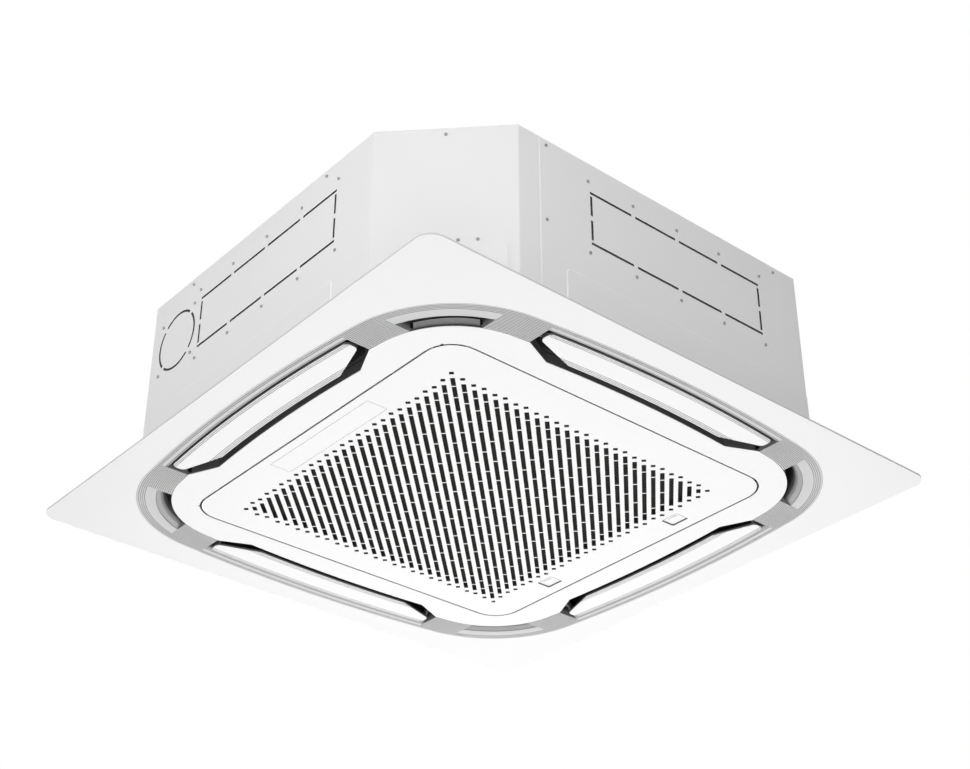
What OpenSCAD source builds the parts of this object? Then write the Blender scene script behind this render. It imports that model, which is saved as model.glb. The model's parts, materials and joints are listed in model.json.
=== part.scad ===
// Ceiling cassette air conditioner: a square panel with four louvers and a hinged intake grille,
// under a casing that holds the fan, the coil and the drain parts.
// Millimetres. Z is up. z = 0 is the plane of the panel's visible face, with the origin at its middle.

/* [Casing] */
// Width of the casing across its flats
casing_w = 840; // [820:5:860]
// Height of the casing
casing_h = 288; // [280:2:320]
// Length cut off each corner of the casing, along a side
casing_cut = 140; // [125:5:150]
// Thickness of the casing's sheet steel
sheet_t = 1.2; // [0.8:0.1:1.6]
// Thickness of the foam lining on the walls
lining_t = 8.5; // [6:0.5:9]
// Thickness of the foam lining under the top
lining_top_t = 14.5; // [10:0.5:16]
// Width of the turned-in lip at the casing's open bottom
casing_lip = 6; // [4:0.5:8]

/* [Knockouts] */
// Width of a cut line round a knockout
cut_w = 4; // [2:0.5:5]
// Length of a bridge that holds a knockout in place
bridge_l = 8; // [5:1:12]
// Height of the rectangular knockouts
knock_h = 91; // [80:1:100]
// Length of the rectangular knockouts
knock_l = 343; // [320:1:360]
// Height of the rectangular knockouts' lower edge above the casing's bottom
knock_up = 147; // [140:1:160]
// Radius of the round knockouts
round_knock_r = 48; // [40:1:50]

/* [Panel] */
// Width by which the square panel reaches past the casing, all round
panel_overlap = 55; // [50:1:70]
// Radius of the panel's outer corners
panel_r = 25; // [10:1:40]
// Depth of the panel, from its face up to the casing
panel_h = 18; // [18:0.5:22]
// Thickness of the panel's skin
skin_t = 3; // [2.5:0.5:3.5]
// Thickness of the walls behind the skin
wall_t = 2.5; // [2:0.5:3]
// Thickness of the foam seals between the panel and the casing
seal_t = 2; // [1.5:0.5:3]

/* [Air ring] */
// Distance by which the ring reaches past the casing's side, at mid-side
ring_overhang = 14; // [8:1:18]
// Radius of the ring's bowed sides
ring_side_r = 2153; // [1900:10:2400]
// Distance from the ring's side to the centre of its corner arc
ring_corner_inset = 203; // [190:1:215]
// Width of the ring between the outer and the inner part of the panel
ring_w = 52; // [49:3:55]
// Pitch of the fine ribs
rib_pitch = 3; // [3:0.5:4]
// Width of one fine rib
rib_w = 1.8; // [1.2:0.1:2]
// Depth of the grooves between the fine ribs
rib_depth = 0.9; // [0.5:0.1:1.2]
// Half the length of a louver's window
window_half = 221; // [218:1:225]
// Width of the rounded lip outside each louver
lip_w = 11.2; // [9:0.2:12]
// Distance from the panel's centre lines to the ends of the corner outlets
corner_start = 289; // [284:1:295]
// Width of the slot at each corner outlet
corner_slot_w = 10.5; // [8:0.5:14]

/* [Louvers] */
// Width of a louver's blade
louver_w = 47; // [44:1:48]
// Length of a louver's blade
louver_l = 426; // [410:2:428]
// Thickness of a louver's blade
louver_t = 3.5; // [2.5:0.5:4]
// Gap between a louver and the panel's inner part
louver_gap = 11; // [9:0.5:13]
// Radius of a louver's pivot pins
louver_pin_r = 3; // [2:0.25:3.5]
// Height of a louver's pivot above the panel's face
louver_pivot_z = 16; // [14:0.5:17]
// Distance from a louver's inner edge to its pivot, outward
louver_pivot_in = 12; // [10:0.5:14]

/* [Grille] */
// Width of the panel's inner part between a louver's window and the grille's opening
grille_border = 42.5; // [38:0.5:48]
// Radius of the grille's corners
grille_r = 44; // [30:1:60]
// Thickness of the grille's face
grille_t = 1.6; // [1.2:0.1:2]
// Gap round the grille
grille_gap = 3; // [2:0.5:4]
// Distance between neighbouring columns of slots
slot_pitch = 13.45; // [13:0.05:14]
// Width of a slot
slot_w = 6.6; // [4:0.1:7]
// Length of one brick of the slot pattern
slot_brick = 57.3; // [50:0.1:64]
// Height of the grille hinge's axis above the panel's face
hinge_z = 4.4; // [4.3:0.1:4.8]
// Radius of the grille's hinge pins
hinge_pin_r = 1.3; // [1.1:0.1:1.4]

/* [Fan] */
// Radius of the fan
fan_r = 235; // [225:1:240]
// Height of the fan
fan_h = 163; // [155:1:165]
// Radius of the fan's inlet
fan_inlet_r = 190; // [185:1:200]
// Number of blades
blade_count = 7; // [5:1:9]
// Radius of the fan motor
motor_r = 68; // [60:1:70]
// Height of the fan motor
motor_h = 60; // [50:1:62]
// Radius of the motor shaft
shaft_r = 6; // [5:0.5:7]

/* [Coil and drain] */
// Outer width of the coil
coil_w = 624; // [610:2:630]
// Thickness of the coil
coil_t = 44; // [36:2:46]
// Height of the drain pan
pan_h = 82; // [76:1:86]
// Depth of the drain pan's trough
trough_d = 30; // [26:1:34]
// Radius of the gas pipe
gas_r = 8; // [6:0.5:8]
// Radius of the liquid pipe
liquid_r = 4.8; // [3:0.1:6]
// Radius of the drain socket
drain_r = 16; // [13:0.5:16]

/* [Hangers] */
// Distance between the suspension rods along X
rod_pitch_x = 684; // [670:2:690]
// Distance between the suspension rods along Y
rod_pitch_y = 780; // [776:2:784]
// Radius of the round ends of a hanger's slot
hanger_slot_r = 6; // [5:0.5:6.5]
// Length of a hanger's slot, end to end
hanger_slot_l = 30; // [24:1:32]
// Thickness of a hanger
hanger_t = 2.5; // [2:0.5:4]

/* [Hidden] */

$fn = 48;
side_fn = 720;
corner_fn = 180;
side_steps = 12;
corner_steps = 22;
// How far a cut runs past a face
over = 1;
// Gap between pieces that seat on each other
seat = 0.3;
// Radial gap of a running fit, and of a fixed one
run = 0.05;
fixed = 0.1;

// Casing
casing_half = casing_w / 2;
panel_w = casing_w + 2 * panel_overlap;
casing_top = panel_h + casing_h;
casing_under = casing_top - sheet_t;
// Distance from the axis to a cut corner's face
casing_diag = (casing_w - casing_cut) / sqrt(2);
top_rib_h = 2;
top_rib_w = 24;
top_pad_r = 120;
top_rib_edge = 70;
emboss_h = 0.8;
emboss_l = 396;
emboss_up = 85;
seam_w = 22;
seam_u = -232;
// Middle of the rectangular knockout along the wall, on the two kinds of side
knock_mid = [26.5, 22.5];
knock_z = panel_h + knock_up;
round_knock_u = -208;
round_knock_z = knock_z + knock_h / 2;

// Casing screws
screw_r = 1.8;
screw_head_r = 2.4;
screw_head_h = 1.8;
screw_l = 7;
screw_row_off = 16;
screw_row_more = 7;
screw_square = 89;
screw_top_off = 12;
screw_top_u = [172, 231];
screw_low_u = [18, 44];
screw_low_up = 96;

// Hangers: middle of the slot out from the axis and along the cut corner, then the bracket's edges
hanger_s = (rod_pitch_x + rod_pitch_y) / 2 / sqrt(2);
hanger_u = (rod_pitch_y - rod_pitch_x) / 2 / sqrt(2);
hanger_base_u = [12, 66];
hanger_base_up = [6, 42];
hanger_strip_u = [68, 83];
hanger_strip_up = 86;
hanger_tab_up = 24;
hanger_tab_w = 40;
hanger_margin = 14;
hanger_strip_r = 5;

// Lining and its cuts
lining_out = sheet_t + seat;
lining_in = lining_out + lining_t;
lining_under = casing_under - seat - lining_top_t;

// Panel screws and their strips
strip_t = 2;
strip_w = 24;
strip_z = panel_h + sheet_t;
panel_screw_r = 2.5;
panel_screw_head_r = 5;
panel_screw_head_h = 2.8;
panel_screw_in = 9;
panel_screw_more = 3;
strip_more = 7.5;
strip_from_corner = 50.5;

// Ring
ring_out = casing_half + ring_overhang;
ring_c = ring_out - ring_corner_inset;
ring_side_back = ring_side_r - ring_out;
side_a = atan(ring_c / (ring_side_back + ring_c));
ring_corner_r = ring_side_r - norm([ring_side_back + ring_c, ring_c]);
wall_top = panel_h - seal_t;
rib_first = 1;
rib_count = floor((ring_w - rib_first) / rib_pitch);
ring_back = 6;
flange_w = 4;
land_in = 10;
land_h = 0.5;
// Gap between the edges of the panel's parts, and between the ring's own parts
part_gap = 0.3;
ring_joint = 0.06;
// Inset of the walls from the edge of the skin that they stand behind
wall_inset = 0.6;
wall_flange_w = 9;
wall_flange_t = 2;
lip_ribs = 3;
lip_start = rib_first + (lip_ribs - 1) * rib_pitch + rib_w;
lip_angle = 75;
lip_h = 4.5;
lip_steps = 10;
lip_radii = [lip_w / sin(lip_angle), lip_h / (1 - cos(lip_angle))];
corner_ribs = 4;
corner_smooth = rib_first + corner_ribs * rib_pitch;
corner_slot_in = ring_w - corner_slot_w;
// Shares across and up of the hollow between a corner outlet's ribs and its slot
hollow_shares = [[0, 0], [0.3, 0.01], [0.55, 0.02], [0.6, 0.12], [0.8, 0.32], [0.93, 0.58], [1, 0.9]];
end_wall_t = 3;
// Ends of the ring's outline at its outer edge, and the whole outline where it has ribs all across
ring_foot = [[0, 0]];
ring_heel = [[-flange_w, ring_back], [-flange_w, skin_t], [0, skin_t]];
bridge_profile = concat(ring_foot, ribs(rib_first, rib_count), [[ring_w, skin_t],
    [ring_w + flange_w, skin_t], [ring_w + flange_w, ring_back]], ring_heel);

// Louvers
lip_gap = 1;
louver_out = lip_start + lip_w + lip_gap;
louver_in = louver_out + louver_w;
window_cut = louver_in + louver_gap;
window_taper = 49;
louver_tip_r = 8;
louver_taper = 60;
louver_taper_in = 25;
louver_tip_slant = 15;
louver_edge_ribs = 3;
louver_axis_d = ring_out - louver_in + louver_pivot_in;
louver_boss_r = 5;
louver_arm_t = 4;
louver_arm_end = 2;
louver_arm_foot = [8, 24];
bush_wall = 2;
bush_flange_t = 1.2;
bush_flange_w = 1.5;
stepper_r = 9.4;
stepper_l = 18;
stepper_bore_l = 7;
stepper_ear = [3, 32];
stepper_room = 1;

// Places of the filter's posts and of the latches along the grille, as shares of its side
post_shares = [0.12, 0.36];
latch_share = 0.232;

// Grille
grille_w = 2 * (ring_out - window_cut - grille_border - grille_gap);
opening_w = grille_w + 2 * grille_gap;
opening_r = grille_r + grille_gap;
slot_margin = 59;
slot_mid = [2, 7];
slot_odd = 3.5;
slot_dot = 6.4;
slot_dot_gap = 9.2;
slot_short = 20.2;
slot_bar = 2.3;
slot_least = 25;
slot_long = 60;
slot_split = 27;
slot_reach_0 = (grille_w / 2 - slot_margin) * sqrt(2);
slot_columns = floor(slot_reach_0 / slot_pitch);
badge_size = [35, 234];
badge_in = 32;
badge_x = badge_in - grille_w / 2;
badge_gap = 0.5;
rim_inset = 2;
rim_t = 1.5;
rim_h = 6;
band_w = 47;
band_t = 1.2;
band_in = 6.5;
hinge_in = 6.5;
hinge_x = -grille_w / 2 + hinge_in;
hinge_wall = 1.2;
hinge_boss_r = hinge_pin_r + hinge_wall;
hinge_from_corner = 128.5;
hinge_y = grille_w / 2 - hinge_from_corner;
// How far the grille opens, in degrees, and the room that its corners take in the opening then
lid_open = 70;
lid_swing_w = hinge_z * tan(lid_open / 2) + seat;
lid_corner = grille_w / 2 - grille_r;
lid_room_x = hinge_x - lid_swing_w;
lid_room_y = seat + lid_corner + sqrt(pow(grille_r, 2) - pow(-hinge_x - lid_swing_w - lid_corner, 2));
lid_room_z = 2 * hinge_z;
hinge_arm_w = 8;
hinge_arm_l = 9;
hinge_lug_w = 4.5;
hinge_lug_gap = 0.4;
filter_in = 26.5;
filter_w = grille_w - 2 * filter_in;
filter_bar = 10;
filter_z = 6;
filter_t = 5;
mesh_t = 0.8;
mesh_in = 4;
mesh_up = 2;
mesh_z = filter_z + mesh_up;
post_r = 4;
post_in = 31.5;
post_x = grille_w / 2 - post_in;
post_y = grille_w * post_shares;
latch_window = [26, 33];
latch_x = post_x;
latch_y = grille_w * latch_share;
latch_travel = 5;
latch_t = 2;
latch_edge = 3;
latch_lift = 0.3;
latch_tip_gap = 10;
latch_tip_w = 16;
latch_tip_h = 2.5;
latch_grip_h = 1.2;
latch_grip_w = 2;
rail_w = 3;
rail_cap = 1.5;
rail_cap_t = 1.2;
slider_size = [latch_window.x + 2 * latch_travel + 2 * latch_edge, latch_window.y + 2 * latch_edge];
rail_z = grille_t + latch_lift + latch_t + latch_lift;

// Screws that hold the panel, and the strips that take them
panel_screw_x = opening_w / 2 - panel_screw_in;
strip_x = panel_screw_x - strip_more;
strip_y = opening_w / 2 - strip_from_corner;

// Fan and motor
fan_gap = 8;
pan_z = panel_h + seat;
pan_top = pan_z + pan_h;
fan_z = pan_top - fan_gap;
fan_top = fan_z + fan_h;
fan_skin = 3;
fan_disc_t = 2.5;
shroud_h = 43;
dome_r = 76;
dome_h = 53;
dome_slope = 12;
dome_z = fan_top - dome_h;
hub_r = 16;
hub_h = 18;
blade_in_r = 150;
blade_t = 2.5;
blade_bow_r = 110;
blade_edge_r = 2;
blade_turn = 20;
blade_angles = [100, 28];
blade_steps = 12;
motor_up = 17;
motor_z = fan_top - motor_h + motor_up;
motor_top = motor_z + motor_h;
motor_ear_t = 3;
motor_ear_r = 100;
motor_fin = 3;
stud_d = 66;
stud_r = 3;
stud_shoulder_r = 6;
stud_nut_r = 5.8;
stud_nut_h = 5;
bush_r = 11;
bush_h = 5;
bush_neck_r = 7;
bracket_w = 190;
bracket_t = 2.5;
shaft_in_motor = 48;
shaft_low = 8;
fan_nut_r = 11;
fan_nut_h = 7;

// Bell mouth
bell_hole_r = 250;
bell_flange_w = 12;
bell_t = 2.2;
bell_throat_r = 182;
bell_arc_r = 48;
bell_steps = 8;
bell_top = fan_z + fan_gap;

// Coil
coil_half = coil_w / 2;
coil_r = 30;
coil_open = 130;
trough_floor = pan_top - trough_d;
trough_side = 4;
coil_z = trough_floor + seat;
coil_top = lining_under - seat;
end_plate_t = 1.5;
bend_tube_r = 3.5;
bend_pitch = 25;
bend_r = 8;
bend_count = 8;

// Pipes, along the diagonal through the cut corner at +X +Y
pipe_z = 200;
pipe_w = 30;
pipe_end = 38;
pipe_bend_r = 26;
nut_r = 14;
nut_l = 18;
union_l = 14;
union_r = [9.5, 7.9];
plate_size = [130, 80];
plate_t = 1.5;
plate_hole = [110, 60];
pipe_hole_gap = 1.5;

// Pump and float
pump_s = 382;
pump_r = 26;
pump_low = 8;
pump_up = 44;
sump_r = 34;
sump_low = 8;
collar_r = 31;
collar_h = 4;
chamber_r = 20;
chamber_h = 15;
impeller_r = 16;
impeller_h = 10;
impeller_up = 3;
impeller_shaft_r = 3;
impeller_shaft_l = 32;
impeller_vanes = 6;
pump_feet = 3;
vane_t = 2;
bracket_size = [70, 64];
pump_bracket_t = 2;
bracket_z = pan_top + seat;
bracket_arm_w = 24;
float_at = [290, 205];
float_r = 13;
float_h = 12;
float_stem_r = 2;
float_stop_r = 4;
float_stop_h = 2;
hose_r = 8;
hose_wall = 2;
hose_bend_r = 26;
hose_z = 262;
socket_flange_r = 22;
socket_flange_t = 2.5;
socket_l = 32;
socket_wall = 2.5;

// Control box
box_off = 4;
box_w = 50;
box_x = [bell_hole_r + box_off, bell_hole_r + box_off + box_w];
box_y = 148;
box_z = 21;
box_h = 37;
box_room = 1.7;
box_wall = 1.5;
cover_t = 1.5;
board_size = [38, 200];
board_t = 1.6;
board_up = 26;
board_y = -35;
// Middle, size and height of the parts on the board, as shares of the board's size
board_part_shares = [[0, -0.35, 0.5, 0.14, 0.4], [-0.2, -0.1, 0.35, 0.16, 0.5], [0.2, 0.08, 0.3, 0.1, 0.28],
    [-0.15, 0.25, 0.4, 0.12, 0.35], [0.22, 0.34, 0.22, 0.07, 0.45]];
block_size = [18, 64, 14];
block_y = 105;
block_pole_r = 3;
block_poles = 5;
grommet_u = 150;
grommet_z = 62;
grommet_r = 14;
grommet_neck_r = 11;
grommet_bore_r = 7;
grommet_t = 2;
sensor_r = 2.5;
sensor_l = 24;
sensor_at = [-150, -190];
sensor_clip = 6;

// Pan
pan_in = lining_in + seat;
duct_room = [3, 4];
duct_in = ring_out - window_cut - duct_room.x;
duct_half = window_half + end_wall_t + duct_room.y;

function ring_d(y) = sqrt(ring_side_r * ring_side_r - y * y) - ring_side_back;
function turn(p, a) = [p.x * cos(a) - p.y * sin(a), p.x * sin(a) + p.y * cos(a)];
function arc_pts(c, r, a0, a1, n) = [
    for (k = [0:n]) c + r * [cos(a0 + (a1 - a0) * k / n), sin(a0 + (a1 - a0) * k / n)]];
function round_pts(w, r, n = 10) = [
    for (i = [0:3], p = arc_pts([w / 2 - r, w / 2 - r], r, 0, 90, n)) turn(p, 90 * i)];
function ring_quarter(t) = concat(
    arc_pts([-ring_side_back, 0], ring_side_r - t, -side_a, side_a, side_steps),
    arc_pts([ring_c, ring_c], ring_corner_r - t, side_a, 90 - side_a, corner_steps));
function ring_outline(t) = [for (i = [0:3], p = ring_quarter(t)) turn(p, 90 * i)];
// Outline of the casing's plan, drawn in by an inset
function oct_pts(inset) =
    let (h = casing_half - inset, c = casing_cut - inset * (2 - sqrt(2)))
    [for (i = [0:3], p = [[h, c - h], [h, h - c]]) turn(p, 90 * i)];
function rect_pts(mid, size) = [
    for (s = [[-1, -1], [1, -1], [1, 1], [-1, 1]]) mid + [s.x * size.x, s.y * size.y] / 2];
function mirrored(pts) = [for (k = [len(pts) - 1:-1:0]) [pts[k].x, -pts[k].y]];
// Plan of the cut for a louver's window, grown towards the panel's middle
function window_pts(grow) = let (
    y1 = window_half - window_taper,
    half = concat(
        [[casing_half, -window_half], [ring_d(window_half) - ring_w - part_gap - grow, -window_half]],
        [for (k = [0:side_steps / 2])
        let (y = -y1 * (1 - 2 * k / side_steps)) [ring_d(y) - window_cut - grow, y]]))
    concat(half, mirrored(half));

module slab(lo, hi) { translate(lo) cube(hi - lo); }
module plate(pts, z0, z1) { translate([0, 0, z0]) linear_extrude(z1 - z0) polygon(pts); }
module frame(outer, inner, z0, z1) {
    translate([0, 0, z0]) linear_extrude(z1 - z0) difference() {
        polygon(outer);
        polygon(inner);
    }
}
module rod(r, z0, z1) { translate([0, 0, z0]) cylinder(r = r, h = z1 - z0); }
module tube(r_out, r_in, z0, z1) {
    difference() {
        rod(r_out, z0, z1);
        rod(r_in, z0 - over, z1 + over);
    }
}
module along_x() { rotate([0, 90, 0]) children(); }
module along_y() { rotate([-90, 0, 0]) children(); }
// Side i of the unit: 0 is +X, 1 is +Y, 2 is -X and 3 is -Y
module on_side(i) { rotate([0, 0, 90 * i]) children(); }
module on_corner(i) { rotate([0, 0, 90 * i + 45]) children(); }
module ring_side(profile) {
    a = side_a - asin(ring_joint / ring_side_r);
    translate([-ring_side_back, 0, 0]) rotate([0, 0, -a])
        rotate_extrude(angle = 2 * a, $fn = side_fn)
            polygon([for (p = profile) [ring_side_r - p.x, p.y]]);
}
module ring_corner(profile) {
    translate([ring_c, ring_c, 0]) rotate([0, 0, side_a])
        rotate_extrude(angle = 90 - 2 * side_a, $fn = corner_fn)
            polygon([for (p = profile) [ring_corner_r - p.x, p.y]]);
}

// Casing and what is fixed to its sheet

// Shape cut or laid at a wall, drawn in the wall's own plane
module on_wall(face, t) { translate([face, 0, 0]) rotate([90, 0, 90]) linear_extrude(t) children(); }
module knock_lines(kind) {
    difference() {
        translate([knock_mid[kind] - knock_l / 2, knock_z]) square([knock_l, knock_h]);
        translate([knock_mid[kind] - knock_l / 2 + cut_w, knock_z + cut_w])
            square([knock_l - 2 * cut_w, knock_h - 2 * cut_w]);
        for (k = [-1:1])
            translate([knock_mid[kind] + k * knock_l / 4 - bridge_l / 2, knock_z - over])
                square([bridge_l, knock_h + 2 * over]);
        translate([knock_mid[kind] - knock_l / 2 - over, round_knock_z - bridge_l / 2])
            square([knock_l + 2 * over, bridge_l]);
    }
}
module round_knock_lines() {
    translate([round_knock_u, round_knock_z]) difference() {
        circle(r = round_knock_r + cut_w / 2);
        circle(r = round_knock_r - cut_w / 2);
        for (a = [45, 135]) rotate(a) square([2 * round_knock_r + 2 * cut_w, bridge_l], center = true);
    }
}
function side_kind(i) = i == 1 || i == 2 ? 0 : 1;
// Places of the screws on a wall, as [along, up]
function wall_screws(kind) = concat(
    [for (k = [0:4], z = [knock_z - screw_row_off, knock_z + knock_h + screw_row_off])
        [knock_mid[kind] + (k / 4 - 1 / 2) * (knock_l + screw_row_more), z]],
    [for (s = [-1, 1]) [s * screw_top_u[kind], casing_top - screw_top_off]],
    kind == 0 ? [for (a = [-1, 1], b = [-1, 1]) [round_knock_u, round_knock_z] + [a, b] * screw_square / 2]
        : [[seam_u, round_knock_z - screw_square / 2]]);
function corner_screws() = concat([[0, casing_top - screw_top_off]],
    [for (u = screw_low_u) [u, panel_h + screw_low_up]]);
module at_casing_screws() {
    for (i = [0:3]) {
        on_side(i) for (p = wall_screws(side_kind(i)))
            translate([casing_half + (side_kind(i) == 1 && abs(p.x - seam_u) < seam_w / 2 ? emboss_h : 0),
                p.x, p.y])
                along_x() children();
        on_corner(i) for (p = corner_screws()) translate([casing_diag, p.x, p.y]) along_x() children();
    }
}
module casing() {
    color("gainsboro") difference() {
        union() {
            difference() {
                plate(oct_pts(0), panel_h, casing_under);
                plate(oct_pts(sheet_t), strip_z, casing_top);
                plate(oct_pts(casing_lip), panel_h - over, casing_top);
            }
            for (i = [0:3]) {
                on_side(i) slab([casing_half - sheet_t / 2, -emboss_l / 2, panel_h],
                    [casing_half + emboss_h, emboss_l / 2, panel_h + emboss_up]);
                if (side_kind(i) == 1)
                    on_side(i) slab([casing_half - sheet_t / 2, seam_u - seam_w / 2, panel_h],
                        [casing_half + emboss_h, seam_u + seam_w / 2, casing_under]);
            }
        }
        for (i = [0:3]) on_side(i) on_wall(casing_half - sheet_t - over, sheet_t + emboss_h + 2 * over) {
            knock_lines(side_kind(i));
            if (side_kind(i) == 0) round_knock_lines();
        }
        at_casing_screws() rod(screw_r + fixed, -sheet_t - over, over + emboss_h);
        on_side(0) translate([casing_half, grommet_u, grommet_z]) along_x()
            rod(grommet_neck_r + fixed, -sheet_t - over, emboss_h + over);
        on_corner(0) slab([casing_diag - sheet_t - over, -plate_hole.x / 2, pipe_z - plate_hole.y / 2],
            [casing_diag + over, plate_hole.x / 2, pipe_z + plate_hole.y / 2]);
        on_corner(0) translate([casing_diag, 0, hose_z]) along_x()
            rod(drain_r + fixed, -sheet_t - over, over);
    }
}
module casing_lid() {
    color("gainsboro") {
        plate(oct_pts(0), casing_under, casing_top);
        for (i = [0:3]) {
            on_side(i) slab([top_pad_r, -top_rib_w / 2, casing_top - sheet_t / 2],
                [casing_half - top_rib_edge, top_rib_w / 2, casing_top + top_rib_h]);
            on_corner(i) slab([top_pad_r, -top_rib_w / 2, casing_top - sheet_t / 2],
                [casing_diag - top_rib_edge, top_rib_w / 2, casing_top + top_rib_h]);
        }
        rod(top_pad_r + over, casing_top - sheet_t / 2, casing_top + top_rib_h);
    }
}
module casing_screws() {
    color("dimgray") at_casing_screws() {
        rod(screw_r, -screw_l, over / 2);
        rod(screw_head_r, seat, seat + screw_head_h);
    }
}
module pipe_plate() {
    color("silver") on_corner(0) difference() {
        slab([casing_diag, -plate_size.x / 2, pipe_z - plate_size.y / 2],
            [casing_diag + plate_t, plate_size.x / 2, pipe_z + plate_size.y / 2]);
        translate([casing_diag, -pipe_w, pipe_z]) along_x() rod(gas_r + pipe_hole_gap, -over, plate_t + over);
        translate([casing_diag, pipe_w, pipe_z]) along_x()
            rod(liquid_r + pipe_hole_gap, -over, plate_t + over);
    }
}
module cable_grommet() {
    color("black") on_side(0) translate([casing_half, grommet_u, grommet_z]) along_x() difference() {
        union() {
            rod(grommet_neck_r, -sheet_t - over / 2, emboss_h + over / 2);
            rod(grommet_r, emboss_h, emboss_h + grommet_t);
            rod(grommet_r, -sheet_t - grommet_t, -sheet_t);
        }
        rod(grommet_bore_r, -sheet_t - grommet_t - over, emboss_h + grommet_t + over);
    }
}
module wall_lining() {
    color("darkslategray") difference() {
        plate(oct_pts(lining_out), strip_z + strip_t + seat, casing_under - seat);
        plate(oct_pts(lining_in), strip_z, lining_under);
        plate(rect_pts([0, 0], [1, 1] * (bracket_w + 2 * seat)), lining_under - over, casing_under);
        at_casing_screws() rod(screw_r + fixed, -screw_l - over, 0);
        on_side(0) translate([casing_half, grommet_u, grommet_z]) along_x()
            rod(grommet_r + seat, -lining_in - over, 0);
        on_corner(0) slab([casing_diag - lining_in - over, -plate_hole.x / 2, pipe_z - plate_hole.y / 2],
            [casing_diag, plate_hole.x / 2, pipe_z + plate_hole.y / 2]);
        on_corner(0) translate([casing_diag, 0, hose_z]) along_x() rod(drain_r + fixed, -lining_in - over, 0);
    }
}

// Hangers, one on each cut corner

module hanger_shape() {
    difference() {
        union() {
            slab([casing_diag, hanger_base_u[0], panel_h + hanger_base_up[0]],
                [casing_diag + hanger_t, hanger_base_u[1], panel_h + hanger_base_up[1]]);
            slab([casing_diag, hanger_base_u[0], panel_h + hanger_base_up[0]],
                [casing_diag + hanger_t, hanger_strip_u[1], panel_h + hanger_tab_up]);
            slab([casing_diag, hanger_strip_u[0], panel_h + hanger_base_up[0]],
                [casing_diag + hanger_t, hanger_strip_u[1], panel_h + hanger_strip_up - hanger_strip_r]);
            slab([casing_diag, hanger_strip_u[0] + hanger_strip_r, panel_h + hanger_tab_up],
                [casing_diag + hanger_t, hanger_strip_u[1] - hanger_strip_r, panel_h + hanger_strip_up]);
            for (u = [hanger_strip_u[0] + hanger_strip_r, hanger_strip_u[1] - hanger_strip_r])
                translate([casing_diag, u, panel_h + hanger_strip_up - hanger_strip_r])
                    along_x() rod(hanger_strip_r, 0, hanger_t);
            slab([casing_diag, hanger_u - hanger_tab_w / 2, panel_h + hanger_tab_up],
                [hanger_s + hanger_slot_l / 2 + hanger_margin / 2, hanger_u + hanger_tab_w / 2,
                    panel_h + hanger_tab_up + hanger_t]);
        }
        translate([hanger_s, hanger_u, panel_h + hanger_tab_up]) rotate([0, 0, -45]) {
            for (s = [-1, 1]) translate([s * (hanger_slot_l / 2 - hanger_slot_r), 0, 0])
                rod(hanger_slot_r, -over, hanger_t + over);
            slab([hanger_slot_r - hanger_slot_l / 2, -hanger_slot_r, -over],
                [hanger_slot_l / 2 - hanger_slot_r, hanger_slot_r, hanger_t + over]);
        }
    }
}
module hanger(i) {
    color("silver") on_corner(i)
        if (i % 2 == 1) mirror([0, 1, 0]) hanger_shape();
        else hanger_shape();
}

// Fan motor and fan

module at_studs() { for (a = [-1, 1], b = [-1, 1]) translate([a * stud_d, b * stud_d, 0]) children(); }
module fan_motor() {
    color("dimgray") difference() {
        union() {
            rod(motor_r - motor_fin, motor_z, motor_top);
            rod(motor_r, motor_z + motor_fin, motor_z + motor_h / 2 - motor_fin);
            rod(motor_r, motor_z + motor_h / 2 + motor_fin, motor_top);
            rod(motor_ear_r, motor_top, motor_top + motor_ear_t);
        }
        rod(shaft_r + run, motor_z - over, motor_z + shaft_in_motor + over);
        at_studs() rod(bush_neck_r + fixed, motor_top - over, motor_top + motor_ear_t + over);
    }
}
module motor_bracket() {
    color("silver") difference() {
        plate(rect_pts([0, 0], [1, 1] * bracket_w), casing_under - bracket_t, casing_under);
        at_studs() rod(stud_r + fixed, casing_under - bracket_t - over, casing_under + over);
    }
}
module motor_bushes() {
    color("black") at_studs() difference() {
        union() {
            rod(bush_r, motor_top - bush_h, motor_top);
            rod(bush_neck_r, motor_top - over, motor_top + motor_ear_t + over);
            rod(bush_r, motor_top + motor_ear_t, motor_top + motor_ear_t + bush_h);
        }
        rod(stud_r + fixed, motor_top - bush_h - over, motor_top + motor_ear_t + bush_h + over);
    }
}
module motor_bolts() {
    color("silver") at_studs() {
        rod(stud_r, motor_top - bush_h - stud_nut_h - over, casing_under);
        rod(stud_shoulder_r, motor_top + motor_ear_t + bush_h, casing_under - bracket_t);
        translate([0, 0, motor_top - bush_h - stud_nut_h]) cylinder(r = stud_nut_r, h = stud_nut_h, $fn = 6);
    }
}
module motor_shaft() {
    color("silver") rod(shaft_r, dome_z - hub_h - shaft_low - seat, motor_z + shaft_in_motor);
}
module fan_nut() {
    color("silver") difference() {
        translate([0, 0, dome_z - hub_h - fan_nut_h]) cylinder(r = fan_nut_r, h = fan_nut_h, $fn = 6);
        rod(shaft_r + run, dome_z - hub_h - fan_nut_h - over, dome_z - hub_h + over);
    }
}
module blade() {
    c = [blade_in_r, -blade_bow_r];
    rotate([0, 0, -blade_turn]) linear_extrude(fan_h - shroud_h / 4) polygon(concat(
        arc_pts(c, blade_bow_r, blade_angles[0], blade_angles[1], blade_steps),
        arc_pts(c, blade_bow_r - blade_t, blade_angles[1], blade_angles[0], blade_steps)));
}
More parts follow.
